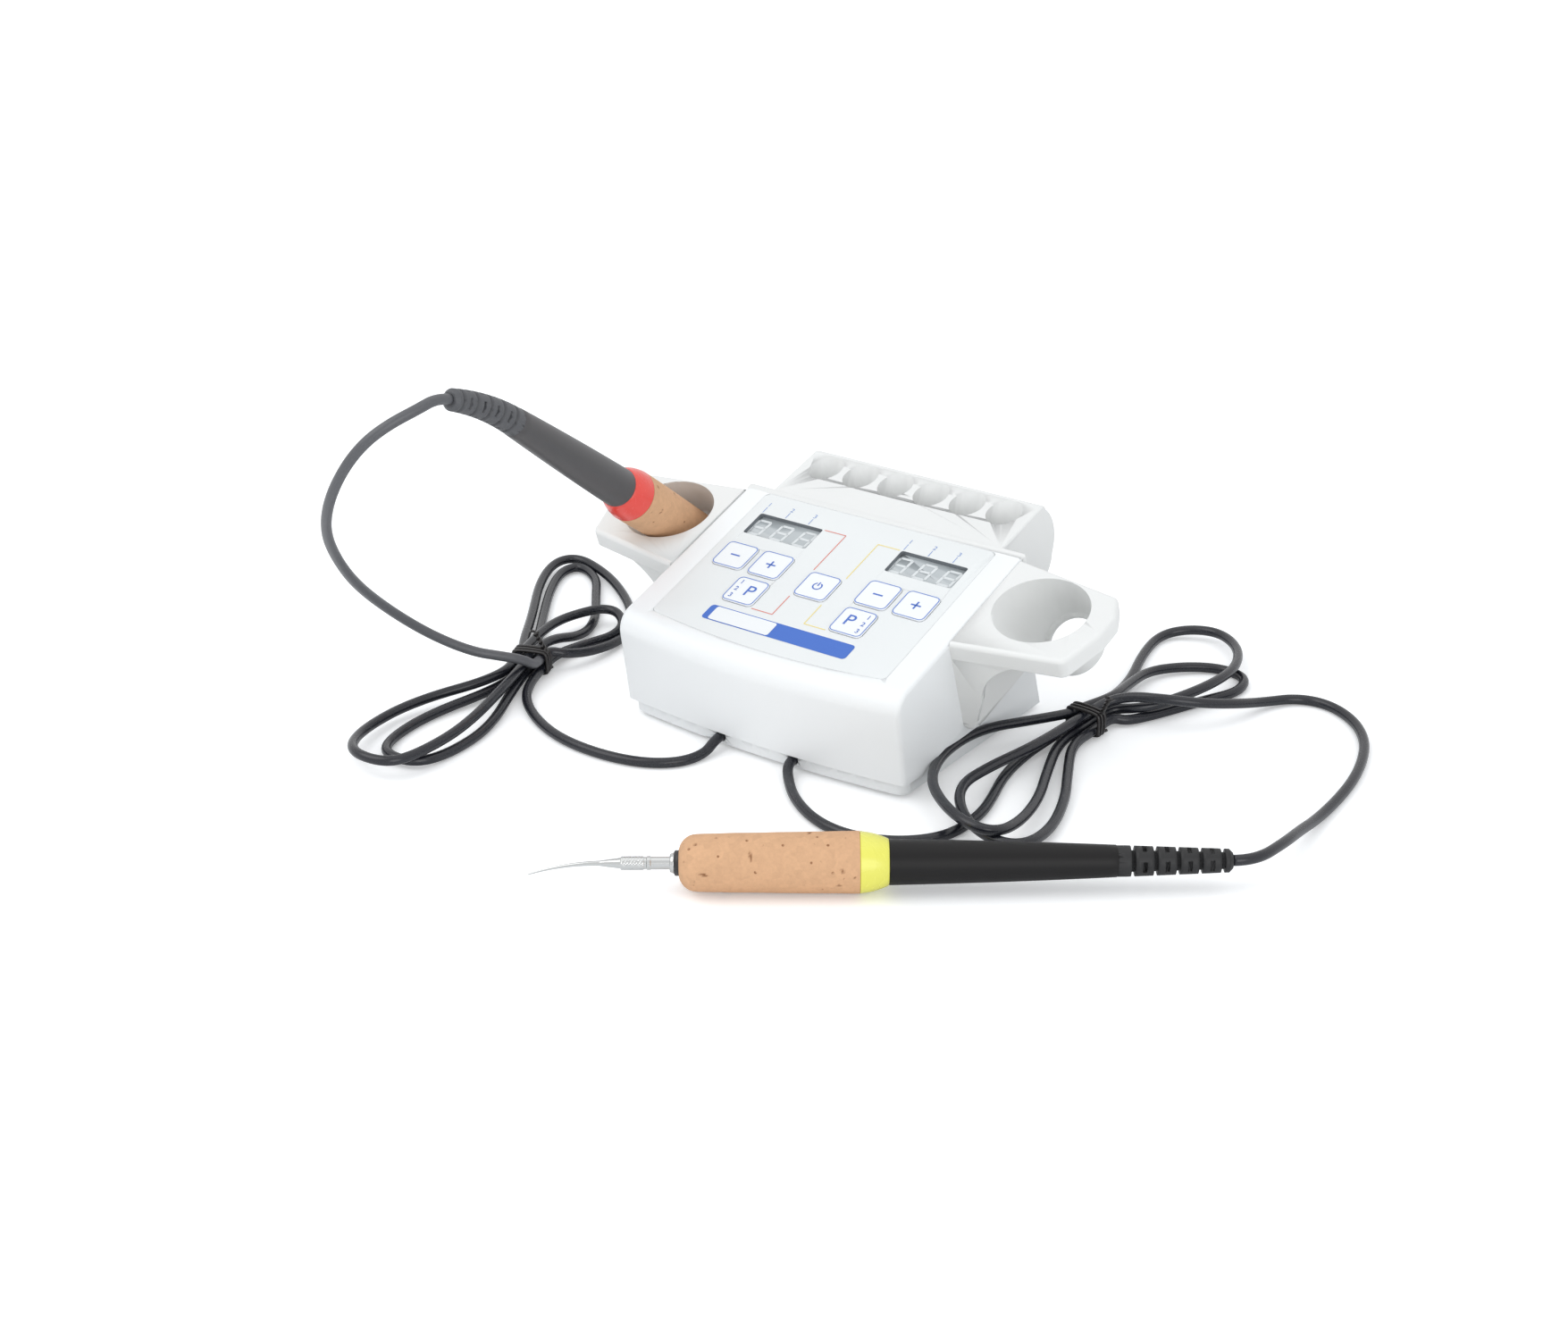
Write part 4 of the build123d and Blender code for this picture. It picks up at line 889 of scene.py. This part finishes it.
def flat_frame(name, width, height, corner, line):
    """Flat rounded outline of one line's width"""
    obj = flat_plate(name, width, height, corner)
    with editing(obj):
        bpy.ops.mesh.inset(thickness=line)
        bpy.ops.mesh.delete(type="FACE")
    return obj


def face_outwards(obj):
    """Make all normals of a piece agree"""
    with editing(obj):
        bpy.ops.mesh.normals_make_consistent(inside=False)


def bar(name, x0, y0, x1, y1, width):
    """Straight printed line between two points"""
    run = Vector((x1 - x0, y1 - y0, 0))
    obj = flat_plate(name, run.length, width, 0)
    turned = Matrix.Rotation(math.atan2(run.y, run.x), 4, "Z")
    return place_mesh(obj, Matrix.Translation(((x0 + x1) / 2, (y0 + y1) / 2, 0)) @ turned)


def lettering(name, text, height, weight=0.0):
    """Flat letters centred on the origin, made a mesh"""
    bpy.ops.object.select_all(action="DESELECT")
    bpy.ops.object.text_add()
    obj = bpy.context.object
    obj.name = name
    obj.data.body = text
    obj.data.align_x = "CENTER"
    obj.data.align_y = "CENTER"
    obj.data.size = height * 1.38
    obj.data.offset = weight
    obj.data.resolution_u = 6
    bpy.ops.object.convert(target="MESH")
    return bpy.context.object


def power_symbol(name, radius, width):
    """Open ring with an upright bar"""
    obj = start(bpy.ops.mesh.primitive_circle_add, name, vertices=40, radius=radius, fill_type="NOTHING")
    share = (radius - width) / radius
    with editing(obj):
        bpy.ops.mesh.extrude_region_move(TRANSFORM_OT_translate={"value": (0, 0, 0)})
        bpy.ops.transform.resize(value=(share, share, 1), center_override=(0, 0, 0))
        bpy.ops.mesh.select_all(action="DESELECT")
    for polygon in obj.data.polygons:
        polygon.select = abs(polygon.center.x) < radius * 0.36 and polygon.center.y > 0
    bpy.ops.object.mode_set(mode="EDIT")
    bpy.ops.mesh.delete(type="FACE")
    bpy.ops.object.mode_set(mode="OBJECT")
    stroke = bar(f"{name}_bar", 0, radius * 0.1, 0, radius * 1.15, width)
    return join([obj, stroke], name)


def panel_print(parts, name, finish_name, slot_name, body, lift):
    """Join printed shapes, face them outwards and put them on the panel at a height over it"""
    obj = join(parts, name) if len(parts) > 1 else parts[0]
    obj.name = name
    obj.data.name = name
    face_outwards(obj)
    if sum(p.normal.z for p in obj.data.polygons) < 0:
        obj.data.flip_normals()
    place_mesh(obj, PANEL_PLACE @ Matrix.Translation((0, 0, lift)))
    coat(obj, finish_name, slot_name)
    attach(obj, body)
    return obj


def at(obj, u, v):
    """Move a flat shape to a place on the panel, in millimetres"""
    return place_mesh(obj, Matrix.Translation((u * MM, v * MM, 0)))


class WAX_OT_keys(bpy.types.Operator):
    """The seven keys with their outlines and legends"""

    bl_idname = "wax.keys"
    bl_label = "Keys"

    def execute(self, context):
        line = context.scene.wax_station.line_width * 0.9
        up = PANEL_PLACE.to_3x3() @ Vector((0, 0, 1))
        for key, (u, v) in KEY_PLACES.items():
            body = f"{key}_body"
            cap = dressed_copy(key, "key", "key", body, 40.0, f"{key}_cap")
            cap.data.materials.append(finish("key_side"))
            for polygon in cap.data.polygons:
                if polygon.normal.dot(up) < KEY_SIDE_TURN:
                    polygon.material_index = 1
            outline = flat_frame("outline", OUTLINE, OUTLINE, OUTLINE_CORNER, line)
            panel_print([at(outline, u, v)], f"{key}_outline", "outline", "key", body, (KEY_TOP + PRINT) * MM)
            legend = [at(shape, u, v) for shape in self.legend(key)]
            panel_print(legend, f"{key}_legend", "blue", "key", body, (KEY_TOP + PRINT) * MM)
        return {"FINISHED"}

    def legend(self, key):
        """Shapes of one key's legend, drawn round the origin"""
        if key == "key_power":
            return [power_symbol("power", 1.7 * MM, 0.46 * MM)]
        if key.endswith("program"):
            side = -1 if "left" in key else 1
            shapes = [at(lettering("letter", "P", 4.9 * MM, 0.03 * MM), -side * 1.4, 0.1)]
            for i in range(3):
                digit = lettering("digit", str(i + 1), 1.95 * MM, 0.02 * MM)
                shapes.append(at(digit, side * 3.55, (3.3, 0.0, -3.3)[i]))
            return shapes
        shapes = [bar("stroke", -STROKE, 0, STROKE, 0, STROKE_W)]
        if key.endswith("plus"):
            shapes.append(bar("stroke", 0, -STROKE, 0, STROKE, STROKE_W))
        return shapes


# Display windows on the panel, and the digits behind them, in millimetres
DISPLAY_U = 27.04
DISPLAY_V = 16.6
DISPLAY_W = 24.4
DISPLAY_H = 10.55
DISPLAY_SINK = 1.4
DIGIT_PITCH = 8.9
DIGIT_SHIFT = -0.75
DIGIT_SLOPE = 0.10


class WAX_OT_panel(bpy.types.Operator):
    """Foil with its printed lines, numerals and strip"""

    bl_idname = "wax.panel"
    bl_label = "Printed foil"

    def execute(self, context):
        width = context.scene.wax_station.line_width
        dressed_copy("keypad_foil", "foil", "foil", "station", 40.0)
        lines = (
            (14.2, 21.7, 6.1, 21.7), (6.1, 21.7, 6.1, 3.4),
            (5.95, -10.2, 5.95, -19.8), (5.95, -19.8, 13.8, -19.8),
        )
        for side, finish_name in ((-1, "print_red"), (1, "print_yellow")):
            bars = [bar("line", side * a * MM, b * MM, side * c * MM, d * MM, width) for a, b, c, d in lines]
            panel_print(bars, f"{finish_name}_lines", finish_name, "foil", "station", PRINT * MM)
        marks = []
        for first in (-39.0, 15.2):
            for i in range(3):
                u = first + i * 8.95
                marks.append(bar("leader", u * MM, 22.3 * MM, u * MM, 25.2 * MM, width * 0.7))
                marks.append(at(lettering("numeral", str(i + 1), 1.9 * MM), u, 26.5))
        panel_print(marks, "display_numerals", "pale_blue", "foil", "station", PRINT * MM)
        strip = at(flat_plate("strip", 53.6 * MM, 6.7 * MM, 1.3 * MM), 0.2, -25.95)
        panel_print([strip], "blue_strip", "strip", "foil", "station", PRINT * MM)
        plate = at(flat_plate("plate", 22.7 * MM, 6.0 * MM, 0.9 * MM), -12.95, -25.95)
        panel_print([plate], "bare_plate", "plate", "foil", "station", 2 * PRINT * MM)
        return {"FINISHED"}


# Segments of a digit: place across and up, and whether it lies level
SEGMENTS = {
    "top": (0, 1, 1), "middle": (0, 0, 1), "bottom": (0, -1, 1),
    "upper_left": (-1, 0.5, 0), "upper_right": (1, 0.5, 0),
    "lower_left": (-1, -0.5, 0), "lower_right": (1, -0.5, 0),
}


class WAX_OT_displays(bpy.types.Operator):
    """Two displays with three unlit digits each, and a dark frame on the walls of their windows as painted
    shade
    """

    bl_idname = "wax.displays"
    bl_label = "Displays"

    def execute(self, context):
        height = context.scene.wax_station.digit_height
        half_h = height * 0.445
        half_w = height * 0.29
        thick = height * 0.125
        for side, name in ((-1, "left"), (1, "right")):
            dressed_copy(f"display_{name}", "display", "display", "station", 40.0, f"display_{name}_body")
            shapes = []
            for i in range(3):
                middle = (side * DISPLAY_U + DIGIT_SHIFT + (i - 1) * DIGIT_PITCH) * MM
                for x, y, level in SEGMENTS.values():
                    long = (2 * half_w if level else half_h) * 0.93
                    shape = flat_plate("segment", long + thick * 0.25, thick, thick * 0.42)
                    if not level:
                        place_mesh(shape, Matrix.Rotation(math.pi / 2, 4, "Z"))
                    slope = Matrix.Identity(4)
                    slope[0][1] = DIGIT_SLOPE
                    spot = Matrix.Translation((x * half_w, y * half_h, 0))
                    centre = Matrix.Translation((middle, DISPLAY_V * MM, 0))
                    shapes.append(place_mesh(shape, centre @ slope @ spot))
            lift = (-DISPLAY_SINK + PRINT) * MM
            panel_print(shapes, f"display_{name}_digits", "segment", "display", "station", lift)
            # Dark frame on the window's walls, down to the display: painted shade of the recess
            rim = flat_frame("rim", DISPLAY_W * MM, DISPLAY_H * MM, 0.8 * MM, 0.1 * MM)
            with editing(rim):
                bpy.ops.mesh.extrude_region_move(
                    TRANSFORM_OT_translate={"value": (0, 0, (DISPLAY_SINK - 0.05) * MM)}
                )
            at(rim, side * DISPLAY_U, DISPLAY_V)
            lift = -DISPLAY_SINK * MM
            face_outwards(panel_print([rim], f"display_{name}_gasket", "gasket", "display", "station", lift))
        return {"FINISHED"}


class WAX_OT_station(bpy.types.Operator):
    """Shells, tip rack, holders, clamps, feet and what is inside"""

    bl_idname = "wax.station"
    bl_label = "Station"

    def execute(self, context):
        dressed_copy("upper_housing", "housing", "housing_white", "station")
        dressed_copy("lower_housing", "housing", "housing_white", "station")
        for node in ("tip_rack", "holder_left", "holder_right"):
            dressed_copy(node, "moulding", "moulding_grey", "station")
        plain = {
            "main_board": "board",
            "tact_switches": "black",
            "control_chip": "package",
            "smoothing_capacitor": "can",
            "power_transistors": "package",
            "cord_connectors": "header",
            "power_socket": "black",
            "cord_clamp_left": "clamp",
            "cord_clamp_right": "clamp",
            "board_screws": "steel",
            "housing_screws": "steel",
            "holder_screws": "steel",
            "rack_screws": "steel",
            "rubber_feet": "rubber",
        }
        for node, finish_name in plain.items():
            dress_node(node, finish_name)
        slots = {s["node"]: s["material_slot"] for s in frame["record"]["subparts"]}
        for side in ("left", "right"):
            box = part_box(f"wires_{side}")
            self.wires(side, box, slots[f"wires_{side}"])
        return {"FINISHED"}

    def wires(self, side, box, slot_name):
        """Cord inside the base, from its clamp up to its connector"""
        x = WIRE_X[side]
        out = -1 if side == "left" else 1
        end = (PANEL_PLACE @ Vector((x * MM, -18.0 * MM, -16.1 * MM))) / MM
        before = (PANEL_PLACE @ Vector((x * MM, -18.0 * MM, -23.1 * MM))) / MM
        route = [(x, -31.2, 5.1), (x, -24.2, 5.1), (x + out * 2.5, -17.2, 10.5), before, end]
        line = smooth_line(route, f"inner_{side}")
        piece = coat(sheath(line, f"inner_lead_{side}", 1.3 * MM, 12), "cord", slot_name)
        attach(piece, "station")
        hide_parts(f"wires_{side}")


# Handpieces
def cork_shape(name, seed, pits, depth):
    """Cork grip: a turned body with a rounded nose, a slightly uneven face and open pits"""
    nose = 5.0 * MM
    outline = [(BORE_R, 0.0), (FRONT_R - nose, 0.0)]
    for k in range(1, 9):
        a = math.pi / 2 * k / 8
        outline.append((FRONT_R - nose + nose * math.sin(a), nose - nose * math.cos(a)))
    steps = 92
    for k in range(1, steps + 1):
        share = k / steps
        outline.append((FRONT_R + (CORK_R - FRONT_R) * share**0.7, nose + (CORK_L - nose) * share))
    outline += [(BORE_R, CORK_L), (BORE_R, 0.0)]
    obj = turn(name, outline, 112, True)
    chance = random.Random(seed)
    spots = []
    for _ in range(pits):
        a = chance.uniform(0, 2 * math.pi)
        z = chance.uniform(2.5 * MM, CORK_L - 1.5 * MM)
        long = chance.uniform(0.35, 0.9) * MM * (2.2 if chance.random() < 0.35 else 1.0)
        slim = min(0.55 * MM, long * chance.uniform(0.25, 0.6))
        spots.append((a, z, long, slim, chance.uniform(0, math.pi), depth * chance.uniform(0.4, 1.0)))
    dark = obj.data.attributes.new("pit", "FLOAT", "POINT")
    shades = [0.0] * len(obj.data.vertices)
    for vertex in obj.data.vertices:
        flat = Vector((vertex.co.x, vertex.co.y, 0))
        if flat.length < FRONT_R * 0.62:
            continue
        outward = flat.normalized()
        swell = noise.noise(vertex.co * 160 + Vector((seed, 0, 0))) * 0.05 * MM
        angle = math.atan2(vertex.co.y, vertex.co.x)
        sink = 0.0
        for a, z, long, slim, lean, deep in spots:
            if abs(vertex.co.z - z) > 3 * MM:
                continue
            turn_gap = (angle - a + math.pi) % (2 * math.pi) - math.pi
            dx, dy = turn_gap * CORK_R, vertex.co.z - z
            p = dx * math.cos(lean) + dy * math.sin(lean)
            q = dy * math.cos(lean) - dx * math.sin(lean)
            ragged = 1 + 0.5 * noise.noise(vertex.co * 1800)
            near = math.sqrt((p / long) ** 2 + (q / slim) ** 2) * ragged
            if near < 1:
                sink = max(sink, deep * (1 - near * near))
        shades[vertex.index] = min(1.0, sink / depth * 2.2)
        vertex.co += outward * (swell - sink)
    dark.data.foreach_set("value", shades)
    return smooth(obj, 50)


def ring_shape(name):
    """Coloured ring: the cork's width down to the handle in one swelling line, with a soft edge"""
    front, end = CORK_L, CORK_L + RING_L
    outline = [(BORE_R, front), (CORK_R - 0.25 * MM, front), (CORK_R, front + 0.25 * MM)]
    for k in range(1, 12):
        share = k / 12
        width = CORK_R + (RING_END_R - CORK_R) * share + 0.38 * MM * math.sin(math.pi * share)
        if share < 0.55:
            width = max(CORK_R - 0.8 * MM * share / 0.55, width)
        outline.append((width, front + RING_L * share))
    outline += [(RING_END_R, end - 0.15 * MM), (6.3 * MM, end), (BORE_R, end), (BORE_R, front)]
    return smooth(turn(name, outline, 80, True), 40)


def handle_shape(name):
    """Slim handle: a gently hollow taper with a fine shadow line at each end"""
    front, end = CORK_L + RING_L, CORK_L + RING_L + GRIP_L
    outline = [(BORE_R, front), (6.2 * MM, front), (6.4 * MM, front + 0.2 * MM)]
    for k in range(1, 25):
        share = k / 24
        radius = 6.4 + (4.5 - 6.4) * share + 0.8 * share * (1 - share)
        outline.append((radius * MM, front + 0.2 * MM + (GRIP_L - 0.5 * MM) * share))
    outline += [(4.3 * MM, end), (BORE_R, end), (BORE_R, front)]
    return smooth(turn(name, outline, 72, True), 40)


def tip_shape(name):
    """Plug-in tip: pin, shaft, collar, knurled grip, taper and a fine curved point"""
    lip = -2.4
    shaft = lip - 7.1
    knurl = shaft - 6.6
    taper = knurl - 5.7
    outline = [
        (0.05, 11.0), (1.0, 11.0), (1.3, 10.6), (1.3, lip), (1.8, lip), (1.8, lip - 5.2), (1.95, lip - 5.4),
        (1.95, lip - 6.3), (1.7, lip - 6.5), (1.7, shaft), (1.85, shaft - 0.2),
    ]
    rows = 26
    for k in range(1, rows + 1):
        outline.append((1.95, shaft - 0.3 - (6.0 * k / rows)))
    outline += [(1.55, knurl), (1.35, knurl - 1.2), (1.1, knurl - 3.4), (0.75, taper), (0.05, taper)]
    obj = turn(name, [(r * MM, z * MM) for r, z in outline], 60)
    for vertex in obj.data.vertices:
        z = vertex.co.z / MM
        r = math.hypot(vertex.co.x, vertex.co.y) / MM
        if r > 1.9 and knurl < z < shaft - 0.3:
            a = math.atan2(vertex.co.y, vertex.co.x) * 15
            wave = abs(math.sin((a + z * 7.5) / 2)) * abs(math.sin((a - z * 7.5) / 2))
            share = 1 - 0.085 * (1 - wave)
            vertex.co.x *= share
            vertex.co.y *= share
    points, radii = [], []
    for k in range(29):
        share = k / 28
        points.append(Vector((-3.4 * share**2, 0, taper + 0.05 - 20.0 * share)) * MM)
        radii.append((0.75 - 0.5 * share) * MM)
    point = sheath(points, f"{name}_point", 0.0, 20, radii)
    point.data.uv_layers.remove(point.data.uv_layers["run"])
    return smooth(join([smooth(obj, 30), point], name), 40)


class WAX_OT_handpieces(bpy.types.Operator):
    """Both handpieces: cork, ring, handle, bend relief, nose and plug-in tip"""

    bl_idname = "wax.handpieces"
    bl_label = "Handpieces"

    def execute(self, context):
        sizes = context.scene.wax_handpiece
        places = hand_places()
        ring = ring_shape("ring_form")
        handle = handle_shape("handle_form")
        tip = tip_shape("tip_form")
        for seed, (colour, place) in enumerate(places.items(), 3):
            body = f"{colour}_handpiece"
            cork = place_mesh(cork_shape(f"cork_{colour}", seed, sizes.pits, sizes.pit_depth), place)
            band = copy_of(ring, f"ring_{colour}", place)
            grip = copy_of(handle, f"grip_{colour}", place)
            spatula = copy_of(tip, f"spatula_{colour}", place)
            made = (
                (cork, "cork", "cork", body, f"cork_grip_{colour}"),
                (band, f"ring_{colour}", f"ring_{colour}", body, f"colour_ring_{colour}"),
                (grip, f"handle_{colour}", "handle", body, f"handle_{colour}"),
                (spatula, "chrome", "chrome", f"{colour}_tip", f"tip_{colour}"),
            )
            for piece, finish_name, slot_name, carrier, node in made:
                coat(piece, finish_name, slot_name)
                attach(piece, carrier)
                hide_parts(node)
            boot = dressed_copy(
                f"bend_boot_{colour}", f"boot_{colour}", "rubber", body, 30.0, f"boot_{colour}"
            )
            if colour == "red":
                back = place.inverted()
                for vertex in boot.data.vertices:
                    own = back @ vertex.co / MM
                    vertex.co = place @ (bent(*own) * MM)
                boot.data.update()
            dressed_copy(f"nose_ring_{colour}", "black", "black_plastic", body, 40.0, f"nose_{colour}")
            dressed_copy(f"tip_socket_{colour}", "chrome", "chrome", body, 40.0, f"receptacle_{colour}")
            dress_node(f"core_tube_{colour}", "steel")
        for form in (ring, handle, tip):
            bpy.data.objects.remove(form)
        return {"FINISHED"}


# Camera in metres and degrees, and the lamps: name, place, size and share of the key light's power
CAMERA_SPOT = (0.4089, -0.5876, 0.3544)
CAMERA_ANGLES = (36.16, 25.42, -0.39)
LAMPS = (
    ("key", (-0.75, -0.80, 1.35), 1.5, 2.1),
    ("top", (0.05, 0.30, 1.5), 1.6, 0.6),
    ("fill", (1.3, -0.9, 0.5), 1.2, 1.5),
)
FLOOR_GLOW = 0.22


# Stage
class WAX_OT_stage(bpy.types.Operator):
    """Camera, floor, sky and lamps"""

    bl_idname = "wax.stage"
    bl_label = "Stage"

    def execute(self, context):
        settings = context.scene.wax_stage
        azimuth, elevation, roll = (math.radians(angle) for angle in CAMERA_ANGLES)
        level = math.cos(elevation)
        forward = Vector((-math.sin(azimuth) * level, math.cos(azimuth) * level, -math.sin(elevation)))
        right = Vector((math.cos(azimuth), math.sin(azimuth), 0))
        up = right.cross(forward)
        across = right * math.cos(roll) + up * math.sin(roll)
        upward = up * math.cos(roll) - right * math.sin(roll)
        bpy.ops.object.camera_add()
        camera = context.object
        camera.name = "camera"
        camera.matrix_world = placement(across, upward, -forward, CAMERA_SPOT)
        camera.data.sensor_fit = "HORIZONTAL"
        camera.data.sensor_width = 36.0
        camera.data.lens = settings.lens
        camera.data.clip_start = 0.01
        context.scene.camera = camera
        self.floor()
        self.sky(context, settings)
        for name, spot, size, share in LAMPS:
            self.lamp(context, name, spot, size, settings.key_power * share)
        context.scene.view_settings.view_transform = "Standard"
        return {"FINISHED"}

    def floor(self):
        """Pale floor that keeps the object's shadow"""
        floor = start(bpy.ops.mesh.primitive_plane_add, "floor", size=8.0)
        with editing(floor):
            bpy.ops.mesh.subdivide(number_cuts=3)
        made, tree, shader, _ = new_finish("Pale floor")
        seen = add_node(tree, "LightPath").outputs["Is Camera Ray"]
        set_inputs(tree, shader, {
            "Base Color": (0.93, 0.935, 0.94, 1),
            "Roughness": 0.7,
            "Specular IOR Level": 0.2,
            "Emission Color": (1, 1, 1, 1),
            "Emission Strength": math_node(tree, "MULTIPLY", seen, FLOOR_GLOW),
        })
        floor.data.materials.append(made)

    def sky(self, context, settings):
        """Even light all round, white to the camera and in reflections"""
        world = bpy.data.worlds.new("Studio")
        context.scene.world = world
        world.use_nodes = True
        tree = world.node_tree
        lit = tree.nodes["Background"]
        set_inputs(tree, lit, {"Color": (0.95, 0.975, 1.0, 1), "Strength": settings.sky})
        seen = add_node(tree, "Background", {"Color": (1, 1, 1, 1), "Strength": 1.0})
        path = add_node(tree, "LightPath").outputs
        rays = path["Is Camera Ray"]
        for other in ("Is Glossy Ray", "Is Transmission Ray"):
            rays = math_node(tree, "MAXIMUM", rays, path[other])
        mix = add_node(tree, "MixShader", {0: rays, 1: lit.outputs[0], 2: seen.outputs[0]})
        tree.links.new(mix.outputs[0], tree.nodes["World Output"].inputs["Surface"])

    def lamp(self, context, name, spot, size, power):
        """Large soft lamp that faces the station"""
        bpy.ops.object.light_add(type="AREA", location=spot)
        lamp = context.object
        lamp.name = f"{name}_lamp"
        lamp.data.shape = "DISK"
        lamp.data.size = size
        lamp.data.energy = power
        lamp.rotation_mode = "QUATERNION"
        lamp.rotation_quaternion = (Vector((0.0, 0.0, 0.03)) - Vector(spot)).to_track_quat("-Z", "Y")


class WAX_PT_panel(bpy.types.Panel):
    """Steps that dress the station, and their sizes"""

    bl_idname = "WAX_PT_panel"
    bl_label = "Wax Spatula"
    bl_space_type = "VIEW_3D"
    bl_region_type = "UI"
    bl_category = "Wax Spatula"

    def draw(self, context):
        for step in STEPS:
            self.layout.operator(step)
        for group in SETTINGS:
            box = self.layout.box()
            owner = getattr(context.scene, group)
            for name in owner.bl_rna.properties.keys():
                if name not in ("rna_type", "name"):
                    box.prop(owner, name)


SETTINGS = {
    "wax_station": StationSettings,
    "wax_handpiece": HandpieceSettings,
    "wax_cord": CordSettings,
    "wax_stage": StageSettings,
}
STEPS = ("wax.stage", "wax.cords", "wax.station", "wax.panel", "wax.keys", "wax.displays", "wax.handpieces")
CLASSES = (
    *SETTINGS.values(),
    WAX_OT_stage,
    WAX_OT_cords,
    WAX_OT_station,
    WAX_OT_panel,
    WAX_OT_keys,
    WAX_OT_displays,
    WAX_OT_handpieces,
    WAX_PT_panel,
)


def register():
    """Register the settings, the steps and the panel"""
    for cls in CLASSES:
        bpy.utils.register_class(cls)
    for name, cls in SETTINGS.items():
        setattr(bpy.types.Scene, name, bpy.props.PointerProperty(type=cls))


def unregister():
    """Take the settings, the steps and the panel away again"""
    for name in SETTINGS:
        delattr(bpy.types.Scene, name)
    for cls in reversed(CLASSES):
        bpy.utils.unregister_class(cls)


def main():
    """Make the whole scene"""
    register()
    bpy.ops.wax.stage()
    bpy.ops.wax.cords()
    bpy.ops.wax.station()
    bpy.ops.wax.panel()
    bpy.ops.wax.keys()
    bpy.ops.wax.displays()
    bpy.ops.wax.handpieces()


if __name__ == "__main__":
    main()
